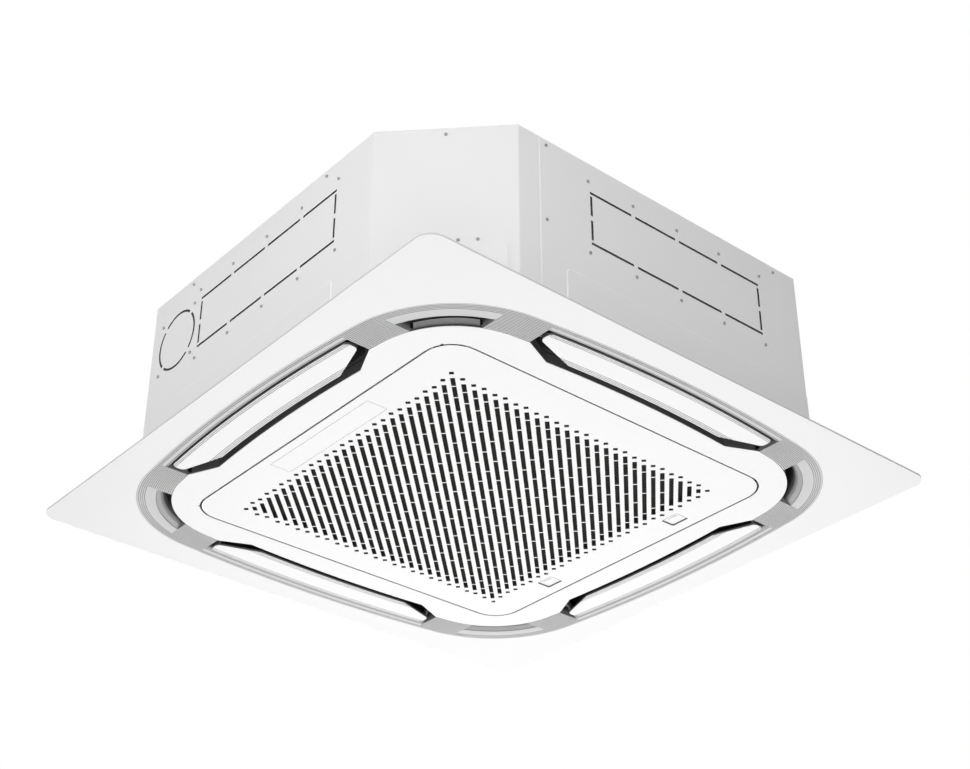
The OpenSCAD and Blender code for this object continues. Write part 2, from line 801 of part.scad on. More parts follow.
module turbo_fan() {
    color("whitesmoke") difference() {
        union() {
            rotate_extrude($fn = corner_fn) polygon([
                [fan_inlet_r, fan_z], [fan_inlet_r + fan_skin, fan_z],
                [fan_inlet_r + fan_skin, fan_z + shroud_h / 5], [fan_r, fan_z + shroud_h - fan_skin],
                [fan_r, fan_z + shroud_h], [fan_r - fan_skin, fan_z + shroud_h],
                [fan_inlet_r, fan_z + shroud_h / 4]]);
            rotate_extrude($fn = corner_fn) polygon([
                [0, dome_z - hub_h], [hub_r, dome_z - hub_h], [hub_r, dome_z - fan_disc_t],
                [dome_r, dome_z - fan_disc_t], [dome_r + dome_slope, fan_top - fan_disc_t],
                [fan_r, fan_top - fan_disc_t], [fan_r, fan_top],
                [dome_r + dome_slope - fan_disc_t, fan_top], [dome_r - fan_disc_t, dome_z], [0, dome_z]]);
            difference() {
                for (k = [0:blade_count - 1]) rotate([0, 0, k * 360 / blade_count])
                    translate([0, 0, fan_z + shroud_h / 4 - fan_disc_t / 2]) blade();
                rotate_extrude($fn = corner_fn) polygon([
                    [0, fan_z - over], [0, fan_z + shroud_h / 2], [blade_in_r, fan_z + shroud_h / 2],
                    [fan_inlet_r + fan_skin / 2, fan_z + shroud_h / 5],
                    [fan_r + over, fan_z + shroud_h - fan_skin / 2], [2 * fan_r, fan_z - over]]);
                tube(2 * fan_r, fan_r - blade_edge_r, fan_z - over, fan_top + over);
            }
        }
        rod(shaft_r + run, dome_z - hub_h - over, dome_z + over);
    }
}
module bell_mouth() {
    arc_c = [bell_throat_r + bell_arc_r, pan_z - bell_t + bell_arc_r];
    color("whitesmoke") rotate_extrude($fn = corner_fn) polygon(concat(
        [[bell_hole_r + bell_flange_w, pan_z - bell_t]],
        arc_pts(arc_c, bell_arc_r, 270, 180, bell_steps),
        [[bell_throat_r, bell_top], [bell_throat_r + bell_t, bell_top]],
        arc_pts(arc_c, bell_arc_r - bell_t, 180, 270, bell_steps),
        [[bell_hole_r + bell_flange_w, pan_z]]));
}

// Coil and pipes

module coil_plan(half, r) { polygon(round_pts(2 * half, r)); }
module coil_fins() {
    color("silver") difference() {
        translate([0, 0, coil_z]) linear_extrude(coil_top - coil_z) difference() {
            coil_plan(coil_half, coil_r + coil_t);
            coil_plan(coil_half - coil_t, coil_r);
        }
        slab([coil_open, coil_open, coil_z - over], [coil_w, coil_w, coil_top + over]);
    }
}
// The two cut ends of the coil, with local x across the coil and local y out of its end
module at_coil_ends() {
    translate([coil_half - coil_t / 2, coil_open, 0]) children();
    mirror([1, -1, 0]) translate([coil_half - coil_t / 2, coil_open, 0]) children();
}
module coil_end_plates() {
    color("silver") at_coil_ends()
        slab([-coil_t / 2, 0, coil_z], [coil_t / 2, end_plate_t, coil_top]);
}
module return_bends() {
    color("peru") at_coil_ends() for (k = [0:bend_count - 1])
        translate([-coil_t / 5, end_plate_t, coil_z + bend_pitch * (k + 1 / 2)])
            rotate([0, -90, 0]) rotate_extrude(angle = 180) translate([bend_r, 0]) circle(r = bend_tube_r);
}
// A pipe from the coil's end to the outside: along the coil's end's normal, then out through the cut corner
module pipe(r, w) {
    run_x = coil_half - coil_t / 4;
    bend_y = run_x - w * sqrt(2);
    tangent = pipe_bend_r * tan(45 / 2);
    translate([run_x, coil_open + end_plate_t, pipe_z]) along_y()
        rod(r, 0, bend_y - tangent - coil_open - end_plate_t);
    translate([run_x + pipe_bend_r, bend_y - tangent, pipe_z]) mirror([1, 0, 0])
        rotate_extrude(angle = 45) translate([pipe_bend_r, 0]) circle(r = r);
    on_corner(0) translate([(run_x + bend_y) / sqrt(2) + tangent, -w, pipe_z]) along_x()
        rod(r, 0, casing_diag + pipe_end - (run_x + bend_y) / sqrt(2) - tangent);
}
module gas_pipe() { color("peru") pipe(gas_r, pipe_w); }
module liquid_pipe() { color("peru") mirror([1, -1, 0]) pipe(liquid_r, pipe_w); }
module flare_nuts() {
    color("gold") for (k = [0, 1]) let (r = [gas_r, liquid_r][k])
        on_corner(0) translate([casing_diag + pipe_end, [-1, 1][k] * pipe_w, pipe_z]) along_x() {
            difference() {
                translate([0, 0, -nut_l]) cylinder(r = nut_r * union_r[k] / union_r[0], h = nut_l, $fn = 6);
                rod(r + fixed, -nut_l - over, 0);
            }
            rod(union_r[k], 0, union_l);
        }
}

// Drain pan, pump and float

module at_strips() {
    for (a = [0, 1], b = [-1, 1]) mirror([a, 0, 0]) translate([0, b * strip_y, 0]) children();
}
module corner_outlet(t0, t1, z0, z1) {
    intersection() {
        ring_corner([[t0, z0], [t1, z0], [t1, z1], [t0, z1]]);
        slab([corner_start, corner_start, z0 - over], [casing_half, casing_half, z1 + over]);
    }
}
module drain_pan() {
    color("darkslategray") difference() {
        plate(oct_pts(pan_in), pan_z, pan_top);
        rod(bell_hole_r, pan_z - over, pan_top + over);
        frame(round_pts(2 * (coil_half + trough_side), coil_r + coil_t),
            round_pts(2 * (coil_half - coil_t - trough_side), coil_r), trough_floor, pan_top + over);
        for (i = [0:3]) {
            on_side(i) slab([duct_in, -duct_half, pan_z - over], [casing_half, duct_half, pan_top + over]);
            on_side(i) slab([louver_axis_d - stepper_ear.y / 2 - stepper_room, 0, pan_z - over],
                [louver_axis_d + stepper_ear.y / 2 + stepper_room,
                    window_half + end_wall_t + stepper_l + stepper_room, louver_pivot_z + stepper_r + stepper_room]);
            on_side(i) corner_outlet(corner_slot_in - seat, ring_w + seat, pan_z - over, pan_top + over);
        }
        at_strips() slab([strip_x - seat, -strip_w / 2 - seat, pan_z - over],
            [casing_half, strip_w / 2 + seat, strip_z + strip_t + seat]);
        at_strips() translate([panel_screw_x, 0, 0])
            rod(panel_screw_r + over, pan_z - over, strip_z + strip_t + panel_screw_more + over);
        slab([box_x[0] - box_room, -box_y - box_room, pan_z - over], [box_x[1] + box_room, box_y + box_room,
            box_z + box_h + seat]);
        on_corner(0) translate([pump_s, 0, 0]) rod(sump_r, trough_floor - sump_low, pan_top + over);
    }
}
module fixing_strips() {
    color("silver") at_strips() difference() {
        slab([strip_x, -strip_w / 2, strip_z], [casing_half - sheet_t - seat, strip_w / 2, strip_z + strip_t]);
        translate([panel_screw_x, 0, 0]) rod(panel_screw_r + fixed, strip_z - over, strip_z + strip_t + over);
    }
}
module pump_bracket() {
    color("silver") {
        difference() {
            union() {
                on_corner(0) slab([pump_s - bracket_size.x / 2, -bracket_size.y / 2, bracket_z],
                    [pump_s + bracket_size.x, bracket_size.y / 2, bracket_z + pump_bracket_t]);
                on_corner(0) translate([pump_s - bracket_size.x / 2, 0, bracket_z])
                    slab([-bracket_arm_w / 2, -bracket_size.y - bracket_arm_w / 2, 0],
                        [bracket_arm_w / 2, bracket_size.y / 2, pump_bracket_t]);
            }
            on_corner(0) translate([pump_s, 0, bracket_z]) rod(pump_r + fixed, -over, pump_bracket_t + over);
        }
        translate(float_at) {
            rod(float_stem_r, trough_floor + seat, bracket_z + over);
            rod(float_stop_r, trough_floor + seat, trough_floor + seat + float_stop_h);
        }
    }
}
module pump_housing() {
    low = trough_floor - sump_low + seat;
    color("darkgray") on_corner(0) translate([pump_s, 0, 0]) {
        difference() {
            union() {
                rod(pump_r, low + pump_low, bracket_z + pump_up);
                rod(collar_r, bracket_z + pump_bracket_t, bracket_z + pump_bracket_t + collar_h);
            }
            rod(chamber_r, low + pump_low - over, low + pump_low + chamber_h);
            rod(impeller_shaft_r + run, low, low + pump_low + chamber_h + impeller_shaft_l);
            rod(hose_r - hose_wall, bracket_z + pump_up - collar_h, bracket_z + pump_up + over);
        }
        for (k = [0:pump_feet - 1]) rotate([0, 0, (k + 1 / 2) * 360 / pump_feet])
            slab([chamber_r, -vane_t, low], [pump_r, vane_t, low + pump_low + over]);
    }
}
module pump_impeller() {
    z = trough_floor - sump_low + seat + pump_low + impeller_up;
    color("whitesmoke") on_corner(0) translate([pump_s, 0, z]) {
        rod(impeller_shaft_r, 0, impeller_shaft_l);
        rod(impeller_r, 0, vane_t);
        for (k = [0:impeller_vanes - 1]) rotate([0, 0, k * 360 / impeller_vanes])
            slab([impeller_shaft_r / 2, -vane_t / 2, vane_t / 2],
                [impeller_r - vane_t / 2, vane_t / 2, impeller_h]);
    }
}
module float() {
    z = trough_floor + 2 * seat + float_stop_h;
    color("whitesmoke") translate(float_at) tube(float_r, float_stem_r + run, z, z + float_h);
}
module drain_hose() {
    z0 = bracket_z + pump_up;
    s1 = casing_diag - lining_in - seat;
    color("darkgray") on_corner(0) translate([pump_s, 0, 0]) {
        tube(hose_r, hose_r - hose_wall, z0, hose_z - hose_bend_r);
        translate([hose_bend_r, 0, hose_z - hose_bend_r]) rotate([90, 0, 180])
            rotate_extrude(angle = -90) translate([hose_bend_r, 0]) difference() {
                circle(r = hose_r);
                circle(r = hose_r - hose_wall);
            }
        translate([hose_bend_r, 0, hose_z]) along_x()
            tube(hose_r, hose_r - hose_wall, 0, s1 - pump_s - hose_bend_r);
    }
}
module drain_socket() {
    color("lightgray") on_corner(0) translate([casing_diag, 0, hose_z]) along_x() difference() {
        union() {
            rod(drain_r, -lining_in, socket_l);
            rod(socket_flange_r, 0, socket_flange_t);
        }
        rod(drain_r - socket_wall, seat, socket_l + over);
        rod(hose_r - hose_wall, -lining_in - over, over);
    }
}

// Control box

module control_box() {
    color("silver") difference() {
        slab([box_x[0], -box_y, box_z], [box_x[1], box_y, box_z + box_h]);
        slab([box_x[0] + box_wall, box_wall - box_y, box_z - over], [box_x[1] - box_wall, box_y - box_wall,
            box_z + box_h - box_wall]);
    }
}
module control_cover() {
    color("silver") slab([box_x[0], -box_y, box_z - cover_t], [box_x[1], box_y, box_z]);
}
module circuit_board() {
    mid = [(box_x[0] + box_x[1]) / 2, board_y];
    z = box_z + board_up;
    color("darkgreen") {
        plate(rect_pts(mid, board_size), z, z + board_t);
        for (p = board_part_shares) plate(rect_pts(mid + [p[0] * board_size.x, p[1] * board_size.y],
            [p[2] * board_size.x, p[3] * board_size.y]), z - p[4] * board_up, z + board_t / 2);
        for (a = [-1, 1], b = [-1, 1])
            translate([mid.x + a * (board_size.x / 2 - post_r), mid.y + b * (board_size.y / 2 - post_r), 0])
                rod(screw_r, z, box_z + box_h - box_wall);
    }
}
module terminal_block() {
    mid = [(box_x[0] + box_x[1]) / 2, block_y];
    top = box_z + box_h - box_wall;
    color("black") difference() {
        plate(rect_pts(mid, block_size), top - block_size.z, top);
        for (k = [0:block_poles - 1])
            translate([mid.x, mid.y + (k - (block_poles - 1) / 2) * block_size.y / block_poles, 0])
                rod(block_pole_r, top - block_size.z - over, top - block_size.z / 2);
    }
}
module air_sensor() {
    z = pan_z - bell_t;
    color("black") translate([sensor_at.x, sensor_at.y, 0]) {
        translate([0, 0, z - sensor_r - seat]) along_x() rod(sensor_r, 0, sensor_l);
        slab([0, -sensor_clip / 2, z - sensor_r], [sensor_clip, sensor_clip / 2, z]);
    }
}

// Panel

// Ridges and grooves across the ring, each as its own step, from t0 on
function ribs(t0, n) = let (step = [[0, 0], [rib_w, 0], [rib_w, rib_depth], [rib_pitch, rib_depth]])
    [for (k = [0:n - 1], p = step) [t0 + k * rib_pitch + p.x, p.y]];
module panel_frame() {
    color("whitesmoke") {
        frame(round_pts(panel_w, panel_r), ring_outline(-part_gap), 0, skin_t);
        frame(round_pts(panel_w - 2 * land_in, panel_r), ring_outline(-flange_w - seat),
            skin_t - over, skin_t + land_h);
    }
}
// Outline of the lip, from its foot inward and up
function lip_curve() = [for (k = [0:lip_steps]) let (a = lip_angle * k / lip_steps)
    [lip_start + lip_radii.x * sin(a), lip_radii.y * (1 - cos(a))]];
module ring_sides() {
    wall_x = lip_start + lip_w;
    lip = concat(ring_foot, ribs(rib_first, lip_ribs - 1), [[lip_start - rib_w, 0]],
        lip_curve(), [[wall_x, wall_top], [wall_x - wall_t, wall_top], [wall_x - wall_t, ring_back]],
        ring_heel);
    end_in = ring_d(window_half) - ring_w + part_gap;
    end_out = ring_d(window_half) - corner_smooth;
    color("lightgray") for (i = [0:3]) on_side(i) {
        difference() {
            ring_side(bridge_profile);
            slab([0, -window_half, -over], [panel_w, window_half, casing_half]);
        }
        intersection() {
            ring_side(lip);
            slab([0, -window_half, -over], [panel_w, window_half, casing_half]);
        }
        for (s = [0, 1]) mirror([0, s, 0]) difference() {
            slab([end_in, window_half, skin_t],
                [end_out, window_half + end_wall_t, louver_pivot_z + louver_boss_r + over]);
            translate([louver_axis_d, 0, louver_pivot_z]) along_y()
                rod(louver_pin_r + run + bush_wall + fixed, 0, panel_w);
        }
    }
}
module ring_corners() {
    hollow = [for (p = hollow_shares)
        [corner_smooth + p.x * (corner_slot_in - corner_smooth), p.y * wall_top]];
    corner = concat(ring_foot, ribs(rib_first, corner_ribs), hollow, [[corner_slot_in, wall_top],
        [corner_slot_in - wall_t, wall_top]], [for (k = [len(hollow) - 2:-1:0]) hollow[k] + [-over, skin_t]],
        [[corner_smooth - skin_t, ring_back]], ring_heel);
    color("lightgray") for (i = [0:3]) on_side(i) {
        difference() {
            ring_corner(bridge_profile);
            slab([corner_start, corner_start, -over], [panel_w, panel_w, casing_half]);
        }
        intersection() {
            ring_corner(corner);
            slab([corner_start, corner_start, -over], [panel_w, panel_w, casing_half]);
        }
        intersection() {
            ring_corner([[corner_smooth, skin_t], [ring_w - part_gap, skin_t],
                [ring_w - part_gap, wall_top], [corner_smooth, wall_top]]);
            union() {
                slab([corner_start - end_wall_t, 0, 0], [corner_start, panel_w, casing_half]);
                slab([0, corner_start - end_wall_t, 0], [panel_w, corner_start, casing_half]);
            }
        }
    }
}
module wall_with_flange(outer, inner, flange) {
    frame(outer, inner, skin_t / 2, wall_top);
    frame(flange, inner, wall_top - wall_flange_t, wall_top);
}
module inner_panel() {
    color("whitesmoke") {
        difference() {
            union() {
                frame(ring_outline(ring_w + part_gap), round_pts(opening_w, opening_r), 0, skin_t);
                intersection() {
                    union() for (i = [0:3]) on_side(i)
                        wall_with_flange(window_pts(wall_inset + wall_t), window_pts(wall_inset),
                            window_pts(wall_inset + wall_flange_w));
                    union() for (i = [0, 1]) on_side(i)
                        slab([-panel_w, -window_half, 0], [panel_w, window_half, casing_top]);
                    plate(ring_outline(ring_w + flange_w + part_gap), -over, casing_top);
                }
                wall_with_flange(round_pts(opening_w + 2 * wall_t, opening_r + wall_t),
                    round_pts(opening_w, opening_r),
                    round_pts(opening_w + 2 * wall_flange_w, opening_r + wall_flange_w));
                for (i = [0:3]) on_side(i)
                    corner_outlet(ring_w + flange_w + part_gap, ring_w + flange_w + part_gap + wall_t,
                        skin_t / 2, wall_top);
                at_strips() screw_ear();
            }
            for (i = [0:3]) on_side(i) plate(window_pts(0), -over, skin_t + over);
            at_strips() translate([panel_screw_x, 0, 0]) rod(panel_screw_r + 2 * fixed, 0, wall_top + over);
            slab([lid_room_x, -lid_room_y, -over], [0, lid_room_y, lid_room_z]);
            slab([hinge_x - hinge_z - 2 * seat, -lid_room_y, 2 * seat], [0, lid_room_y, lid_room_z]);
        }
        at_hinges() for (s = [-1, 1]) difference() {
            translate([0, s * (hinge_arm_w + hinge_lug_w + 2 * hinge_lug_gap) / 2, 0]) {
                along_y() rod(hinge_boss_r, -hinge_lug_w / 2, hinge_lug_w / 2);
                slab([-hinge_boss_r, -hinge_lug_w / 2, 0],
                    [hinge_boss_r, hinge_lug_w / 2, wall_top - hinge_z]);
                slab([-hinge_in - grille_gap - over, -hinge_lug_w / 2, wall_top - wall_flange_t - hinge_z],
                    [hinge_boss_r, hinge_lug_w / 2, wall_top - hinge_z]);
            }
            along_y() rod(hinge_pin_r + fixed, -hinge_y, hinge_y);
        }
    }
}
module screw_ear() {
    slab([panel_screw_x - panel_screw_head_r - over, -strip_w / 2, wall_top - panel_screw_head_h],
        [opening_w / 2 + wall_t / 2, strip_w / 2, wall_top]);
}
module panel_seal() {
    color("dimgray") {
        frame(round_pts(opening_w + 2 * wall_flange_w, opening_r + wall_flange_w),
            round_pts(opening_w, opening_r), wall_top, panel_h);
        intersection() {
            for (i = [0:3]) on_side(i)
                frame(window_pts(wall_inset + wall_flange_w), window_pts(wall_inset), wall_top, panel_h);
            union() for (i = [0, 1]) on_side(i)
                slab([-panel_w, -window_half, 0], [panel_w, window_half, casing_top]);
            plate(ring_outline(ring_w + flange_w + part_gap), 0, casing_top);
        }
    }
}
module panel_screws() {
    low = wall_top - panel_screw_head_h;
    color("silver") at_strips() translate([panel_screw_x, 0, 0]) {
        rod(panel_screw_r, low - over, strip_z + strip_t + panel_screw_more);
        rod(panel_screw_head_r, low - panel_screw_head_h, low);
    }
}
module at_hinges() { for (s = [-1, 1]) translate([hinge_x, s * hinge_y, hinge_z]) children(); }
module hinge_pins() {
    half = hinge_arm_w / 2 + hinge_lug_gap + hinge_lug_w;
    color("silver") at_hinges() along_y() rod(hinge_pin_r, -half, half);
}

// Louvers

module louver_bushes() {
    color("dimgray") for (i = [0:3], s = [0, 1]) on_side(i) translate([louver_axis_d, 0, louver_pivot_z])
        mirror([0, s, 0]) along_y() difference() {
            union() {
                rod(louver_pin_r + run + bush_wall, window_half - bush_flange_t, window_half + end_wall_t);
                rod(louver_pin_r + run + bush_wall + bush_flange_w, window_half - bush_flange_t, window_half);
            }
            rod(louver_pin_r + run, window_half - 2 * over - bush_flange_t, window_half + end_wall_t + over);
        }
}
module louver_motor(i) {
    color("silver") on_side(i) translate([louver_axis_d, window_half + end_wall_t, louver_pivot_z]) {
        difference() {
            union() {
                along_y() rod(stepper_r, 0, stepper_l);
                slab([-stepper_ear.y / 2, 0, -stepper_ear.x], [stepper_ear.y / 2, wall_t, stepper_ear.x]);
            }
            along_y() rod(louver_pin_r + run, -over, stepper_bore_l + over);
        }
    }
}
// Ridges along a louver's edges are grooves cut into its face
function grooves(t0, n) = let (w = rib_pitch - rib_w)
    [for (k = [0:n - 1], p = [[0, 0], [0, rib_depth], [w, rib_depth], [w, 0]]) [t0 + k * rib_pitch + p.x, p.y]];
module louver(i) {
    tip_y = louver_l / 2 - louver_tip_r;
    tip_d = ring_d(tip_y) - louver_in + louver_taper_in;
    out_d = ring_d(tip_y) - louver_out;
    taper_y = tip_y - louver_taper;
    half = concat(
        [[casing_half, -tip_y], [out_d, -tip_y]],
        arc_pts([out_d - louver_tip_r, -tip_y], louver_tip_r, 0, -90, 6),
        arc_pts([tip_d + louver_tip_r, -tip_y], louver_tip_r, -90, -180 + louver_tip_slant, 6),
        [[ring_d(taper_y) - louver_in, -taper_y]]);
    foot = louver_arm_foot;
    arm = [[foot[0], louver_t / 2], [foot[1], louver_t / 2], [louver_boss_r, louver_pivot_z],
        [0, louver_pivot_z + louver_boss_r / 2], [-louver_boss_r / 2, louver_pivot_z]];
    color("whitesmoke") on_side(i) {
        intersection() {
            ring_side(concat([[louver_out, 0]], grooves(louver_out + rib_w, 2),
                grooves(louver_in - louver_edge_ribs * rib_pitch, louver_edge_ribs),
                [[louver_in, 0], [louver_in, louver_t], [louver_out, louver_t]]));
            plate(concat(half, mirrored(half)), -over, louver_t + over);
        }
        for (s = [-1, 1]) mirror([0, s < 0 ? 1 : 0, 0]) translate([louver_axis_d, 0, 0]) {
            translate([0, tip_y + louver_arm_end + louver_arm_t, 0]) rotate([90, 0, 0])
                linear_extrude(louver_arm_t) polygon(arm);
            translate([0, 0, louver_pivot_z]) along_y() {
                rod(louver_boss_r, tip_y + louver_arm_end, tip_y + louver_arm_end + louver_arm_t);
                rod(louver_pin_r, tip_y + louver_arm_end + over,
                    window_half + end_wall_t + (s > 0 ? stepper_bore_l : 0));
            }
        }
    }
}

// Grille

// Places along column k where a thin bar crosses its slots
function slot_bars(k, top) = let (
    odd = k % 2 != 0,
    n = floor((top - slot_least) / slot_brick + (odd ? 0 : 1 / 2)),
    far = [for (j = [1:1:n]) slot_brick * (odd ? j : j - 1 / 2)],
    last = n > 0 ? far[n - 1] : 0,
    more = abs(k) < 2 && top - last > slot_long ? [top - slot_split - slot_bar / 2] : [],
    right = concat(far, more))
    concat([for (j = [len(right) - 1:-1:0]) -right[j]], odd ? [0] : [], right);
// Slots of column k, as [start, end] along it from its middle
function column(k) = let (
    v = slot_reach_0 - slot_pitch * abs(k) + (k == 0 ? 2 * slot_odd : k % 2 != 0 ? slot_odd : 0),
    v1 = v - slot_dot - slot_dot_gap,
    top = v1 - slot_short - slot_bar,
    ends = concat([-top], [for (x = slot_bars(k, top), s = [-1, 1]) x + s * slot_bar / 2], [top]))
    v < slot_dot ? [[-slot_dot / 2, slot_dot / 2]]
    : concat([[slot_dot - v, -v], [v - slot_dot, v]],
        top < slot_least ? [[-v1, v1]]
        : concat([[-v1, slot_short - v1], [v1 - slot_short, v1]],
            [for (j = [0:2:len(ends) - 1]) [ends[j], ends[j + 1]]]));
function slot_quads() = [for (k = [-slot_columns:slot_columns], e = column(k))
    [for (p = [[e[0], -1], [e[1], -1], [e[1], 1], [e[0], 1]])
        slot_mid + turn([p.x, k * slot_pitch + p.y * slot_w / 2], 45)]];
module at_latches() { for (s = [-1, 1]) translate([latch_x, s * latch_y, 0]) children(); }
module grille() {
    holes = concat(slot_quads(), [rect_pts([badge_x, 0], badge_size)],
        [for (s = [-1, 1]) rect_pts([latch_x, s * latch_y], latch_window)]);
    color("whitesmoke") linear_extrude(grille_t) difference() {
        polygon(round_pts(grille_w, grille_r));
        for (q = holes) polygon(q);
    }
}
module grille_frame() {
    rim_w = grille_w - 2 * rim_inset;
    band = hinge_in + band_in;
    color("whitesmoke") {
        difference() {
            union() {
                frame(round_pts(rim_w, grille_r - rim_inset),
                    rect_pts([0, 0], [1, 1] * (grille_w - 2 * band_w)), grille_t, grille_t + band_t);
                frame(round_pts(rim_w, grille_r - rim_inset),
                    round_pts(rim_w - 2 * rim_t, grille_r - rim_inset - rim_t), grille_t, rim_h);
            }
            slab([-grille_w, -grille_w, 0], [band - grille_w / 2, grille_w, rim_h + over]);
            at_latches() slab(
                [-slider_size.x / 2 - latch_travel - latch_lift, -slider_size.y / 2 - latch_lift, 0],
                [grille_w, slider_size.y / 2 + latch_lift, rim_h + over]);
        }
        for (s = [-1, 1], y = [-post_y[1], -post_y[0], post_y[0], post_y[1]]) {
            translate([s * post_x, y, 0]) rod(post_r, grille_t, filter_z);
            translate([y, s * post_x, 0]) rod(post_r, grille_t, filter_z);
        }
        at_hinges() difference() {
            union() {
                along_y() rod(hinge_boss_r, -hinge_arm_w / 2, hinge_arm_w / 2);
                slab([0, -hinge_arm_w / 2, grille_t - hinge_z], [hinge_arm_l, hinge_arm_w / 2, 0]);
            }
            along_y() rod(hinge_pin_r + run, -hinge_arm_w, hinge_arm_w);
        }
        at_latches() for (s = [0, 1]) mirror([0, s, 0]) {
            y = slider_size.y / 2 + latch_lift;
            slab([-slider_size.x / 2, y, grille_t], [slider_size.x / 4, y + rail_w, rail_z + rail_cap_t]);
            slab([-slider_size.x / 2, y - rail_cap, rail_z],
                [slider_size.x / 4, y + rail_w, rail_z + rail_cap_t]);
        }
    }
}
module badge_plate() {
    color("whitesmoke") plate(rect_pts([badge_x, 0], badge_size - [1, 1] * 2 * badge_gap), 0, grille_t);
}
module filter_frame() {
    z1 = filter_z + filter_t;
    color("dimgray") difference() {
        union() {
            frame(rect_pts([0, 0], [1, 1] * filter_w),
                rect_pts([0, 0], [1, 1] * (filter_w - 2 * filter_bar)), filter_z, z1);
            for (size = [[filter_w - filter_bar, filter_bar], [filter_bar, filter_w - filter_bar]])
                plate(rect_pts([0, 0], size), mesh_z + mesh_t + seat / 2, z1);
        }
        plate(rect_pts([0, 0], [1, 1] * (filter_w - 2 * mesh_in)), mesh_z, mesh_z + mesh_t + seat / 2);
    }
}
module filter_mesh() {
    color("black")
        plate(rect_pts([0, 0], [1, 1] * (filter_w - 2 * mesh_in - 2 * seat)), mesh_z, mesh_z + mesh_t);
}
module latch(s) {
    z = grille_t + latch_lift;
    color("whitesmoke") translate([latch_x, s * latch_y, 0]) {
        plate(rect_pts([0, 0], slider_size), z, z + latch_t);
        slab([slider_size.x / 2 - latch_edge, -latch_tip_w / 2, z],
            [opening_w / 2 - latch_tip_gap - latch_x, latch_tip_w / 2, z + latch_tip_h]);
        slab([-latch_window.x / 4, -latch_window.y / 4, z - latch_grip_h],
            [latch_grip_w - latch_window.x / 4, latch_window.y / 4, z + latch_t / 2]);
    }
}

casing();
casing_lid();  // casing_top
casing_screws();
pipe_plate();
cable_grommet();
wall_lining();
hanger(0);  // hanger_1
hanger(1);  // hanger_2
hanger(2);  // hanger_3
hanger(3);  // hanger_4
fan_motor();
motor_bracket();
motor_bushes();
motor_bolts();
motor_shaft();
fan_nut();
turbo_fan();
bell_mouth();
coil_fins();
coil_end_plates();
return_bends();
gas_pipe();
liquid_pipe();
flare_nuts();
drain_pan();
fixing_strips();
pump_bracket();
pump_housing();
pump_impeller();
float();
drain_hose();
drain_socket();
control_box();
control_cover();
circuit_board();
terminal_block();
air_sensor();
panel_frame();
ring_sides();
ring_corners();
inner_panel();
panel_seal();
panel_screws();
hinge_pins();
louver_bushes();
louver(0);  // louver_right
louver(1);  // louver_back
louver(2);  // louver_left
louver(3);  // louver_front
louver_motor(0);  // louver_motor_right
louver_motor(1);  // louver_motor_back
louver_motor(2);  // louver_motor_left
louver_motor(3);  // louver_motor_front
grille();
grille_frame();
badge_plate();
filter_frame();
filter_mesh();
latch(1);  // latch_back
latch(-1);  // latch_front
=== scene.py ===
"""Ceiling cassette air conditioner.

Made here: the finish of every surface, with painted shade in slots, ducts and grooves and a
painted highlight round the casing's pressings; the folded casing with its screws, the slotted
face of the intake, the painted shade lines round its latches, and the light, floor and camera.
The other pieces are the solids with new materials, and with rounded edges on the panel's outer
part.
"""

import json
import math

import bmesh
import bpy
from mathutils import Matrix, Vector


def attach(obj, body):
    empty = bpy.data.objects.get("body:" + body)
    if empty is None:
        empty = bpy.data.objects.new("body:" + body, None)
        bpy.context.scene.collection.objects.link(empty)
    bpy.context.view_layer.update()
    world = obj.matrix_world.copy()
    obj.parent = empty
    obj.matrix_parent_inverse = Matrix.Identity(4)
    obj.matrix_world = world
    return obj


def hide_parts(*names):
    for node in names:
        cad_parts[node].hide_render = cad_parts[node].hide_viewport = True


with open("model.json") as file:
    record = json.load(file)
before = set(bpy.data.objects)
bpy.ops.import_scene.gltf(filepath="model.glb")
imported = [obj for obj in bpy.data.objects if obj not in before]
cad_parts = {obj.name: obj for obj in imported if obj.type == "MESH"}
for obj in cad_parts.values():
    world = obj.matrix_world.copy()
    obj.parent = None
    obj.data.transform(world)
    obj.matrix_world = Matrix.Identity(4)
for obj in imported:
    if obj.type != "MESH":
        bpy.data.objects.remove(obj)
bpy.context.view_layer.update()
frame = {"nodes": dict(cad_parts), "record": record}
nodes = frame["nodes"]
MM = 0.001
MERGE = 1e-6

# Angles in degrees: edges sharper than these stay crisp, and on the panel they are rounded
SHARP = 32
CASING_SHARP = 14
PLATE_SHARP = 40

# Casing, the same sizes as its solid
CASING_HALF = 420 * MM
CASING_CUT = 140 * MM
CASING_DIAG = (2 * CASING_HALF - CASING_CUT) / math.sqrt(2)
CASING_LOW = 18 * MM
CASING_TOP = 306 * MM
SHEET = 1.2 * MM
LIP = 6 * MM
BEND = 3.5 * MM
TOP_BEND = 1.6 * MM
EMBOSS = 0.8 * MM
EMBOSS_SIZE = (396 * MM, 85 * MM)
EMBOSS_ROUND = 9 * MM
PRESS_SLOPE = 1.6 * MM
# The slope round a pressed panel, which gets a painted highlight, is told by its height above the
# lip and by the level part of its normal
PRESS_LINE = (0.3 * MM, EMBOSS_SIZE[1] + 0.5 * MM)
PRESS_LEVEL = (0.8, 0.93)
SEAM_U = -232 * MM
SEAM_W = 22 * MM
RIB_H = 2 * MM
RIB_W = 24 * MM
RIB_EDGE = 70 * MM
PAD_R = 120 * MM
RIB_START = PAD_R * 0.7
SINK = 0.4 * MM

# Openings of the casing, each a middle and a radius or size
CABLE_HOLE = ((150 * MM, 62 * MM), 11 * MM)
PIPE_OPENING = ((0, 200 * MM), (110 * MM, 60 * MM))
DRAIN_HOLE = ((0, 262 * MM), 16.1 * MM)

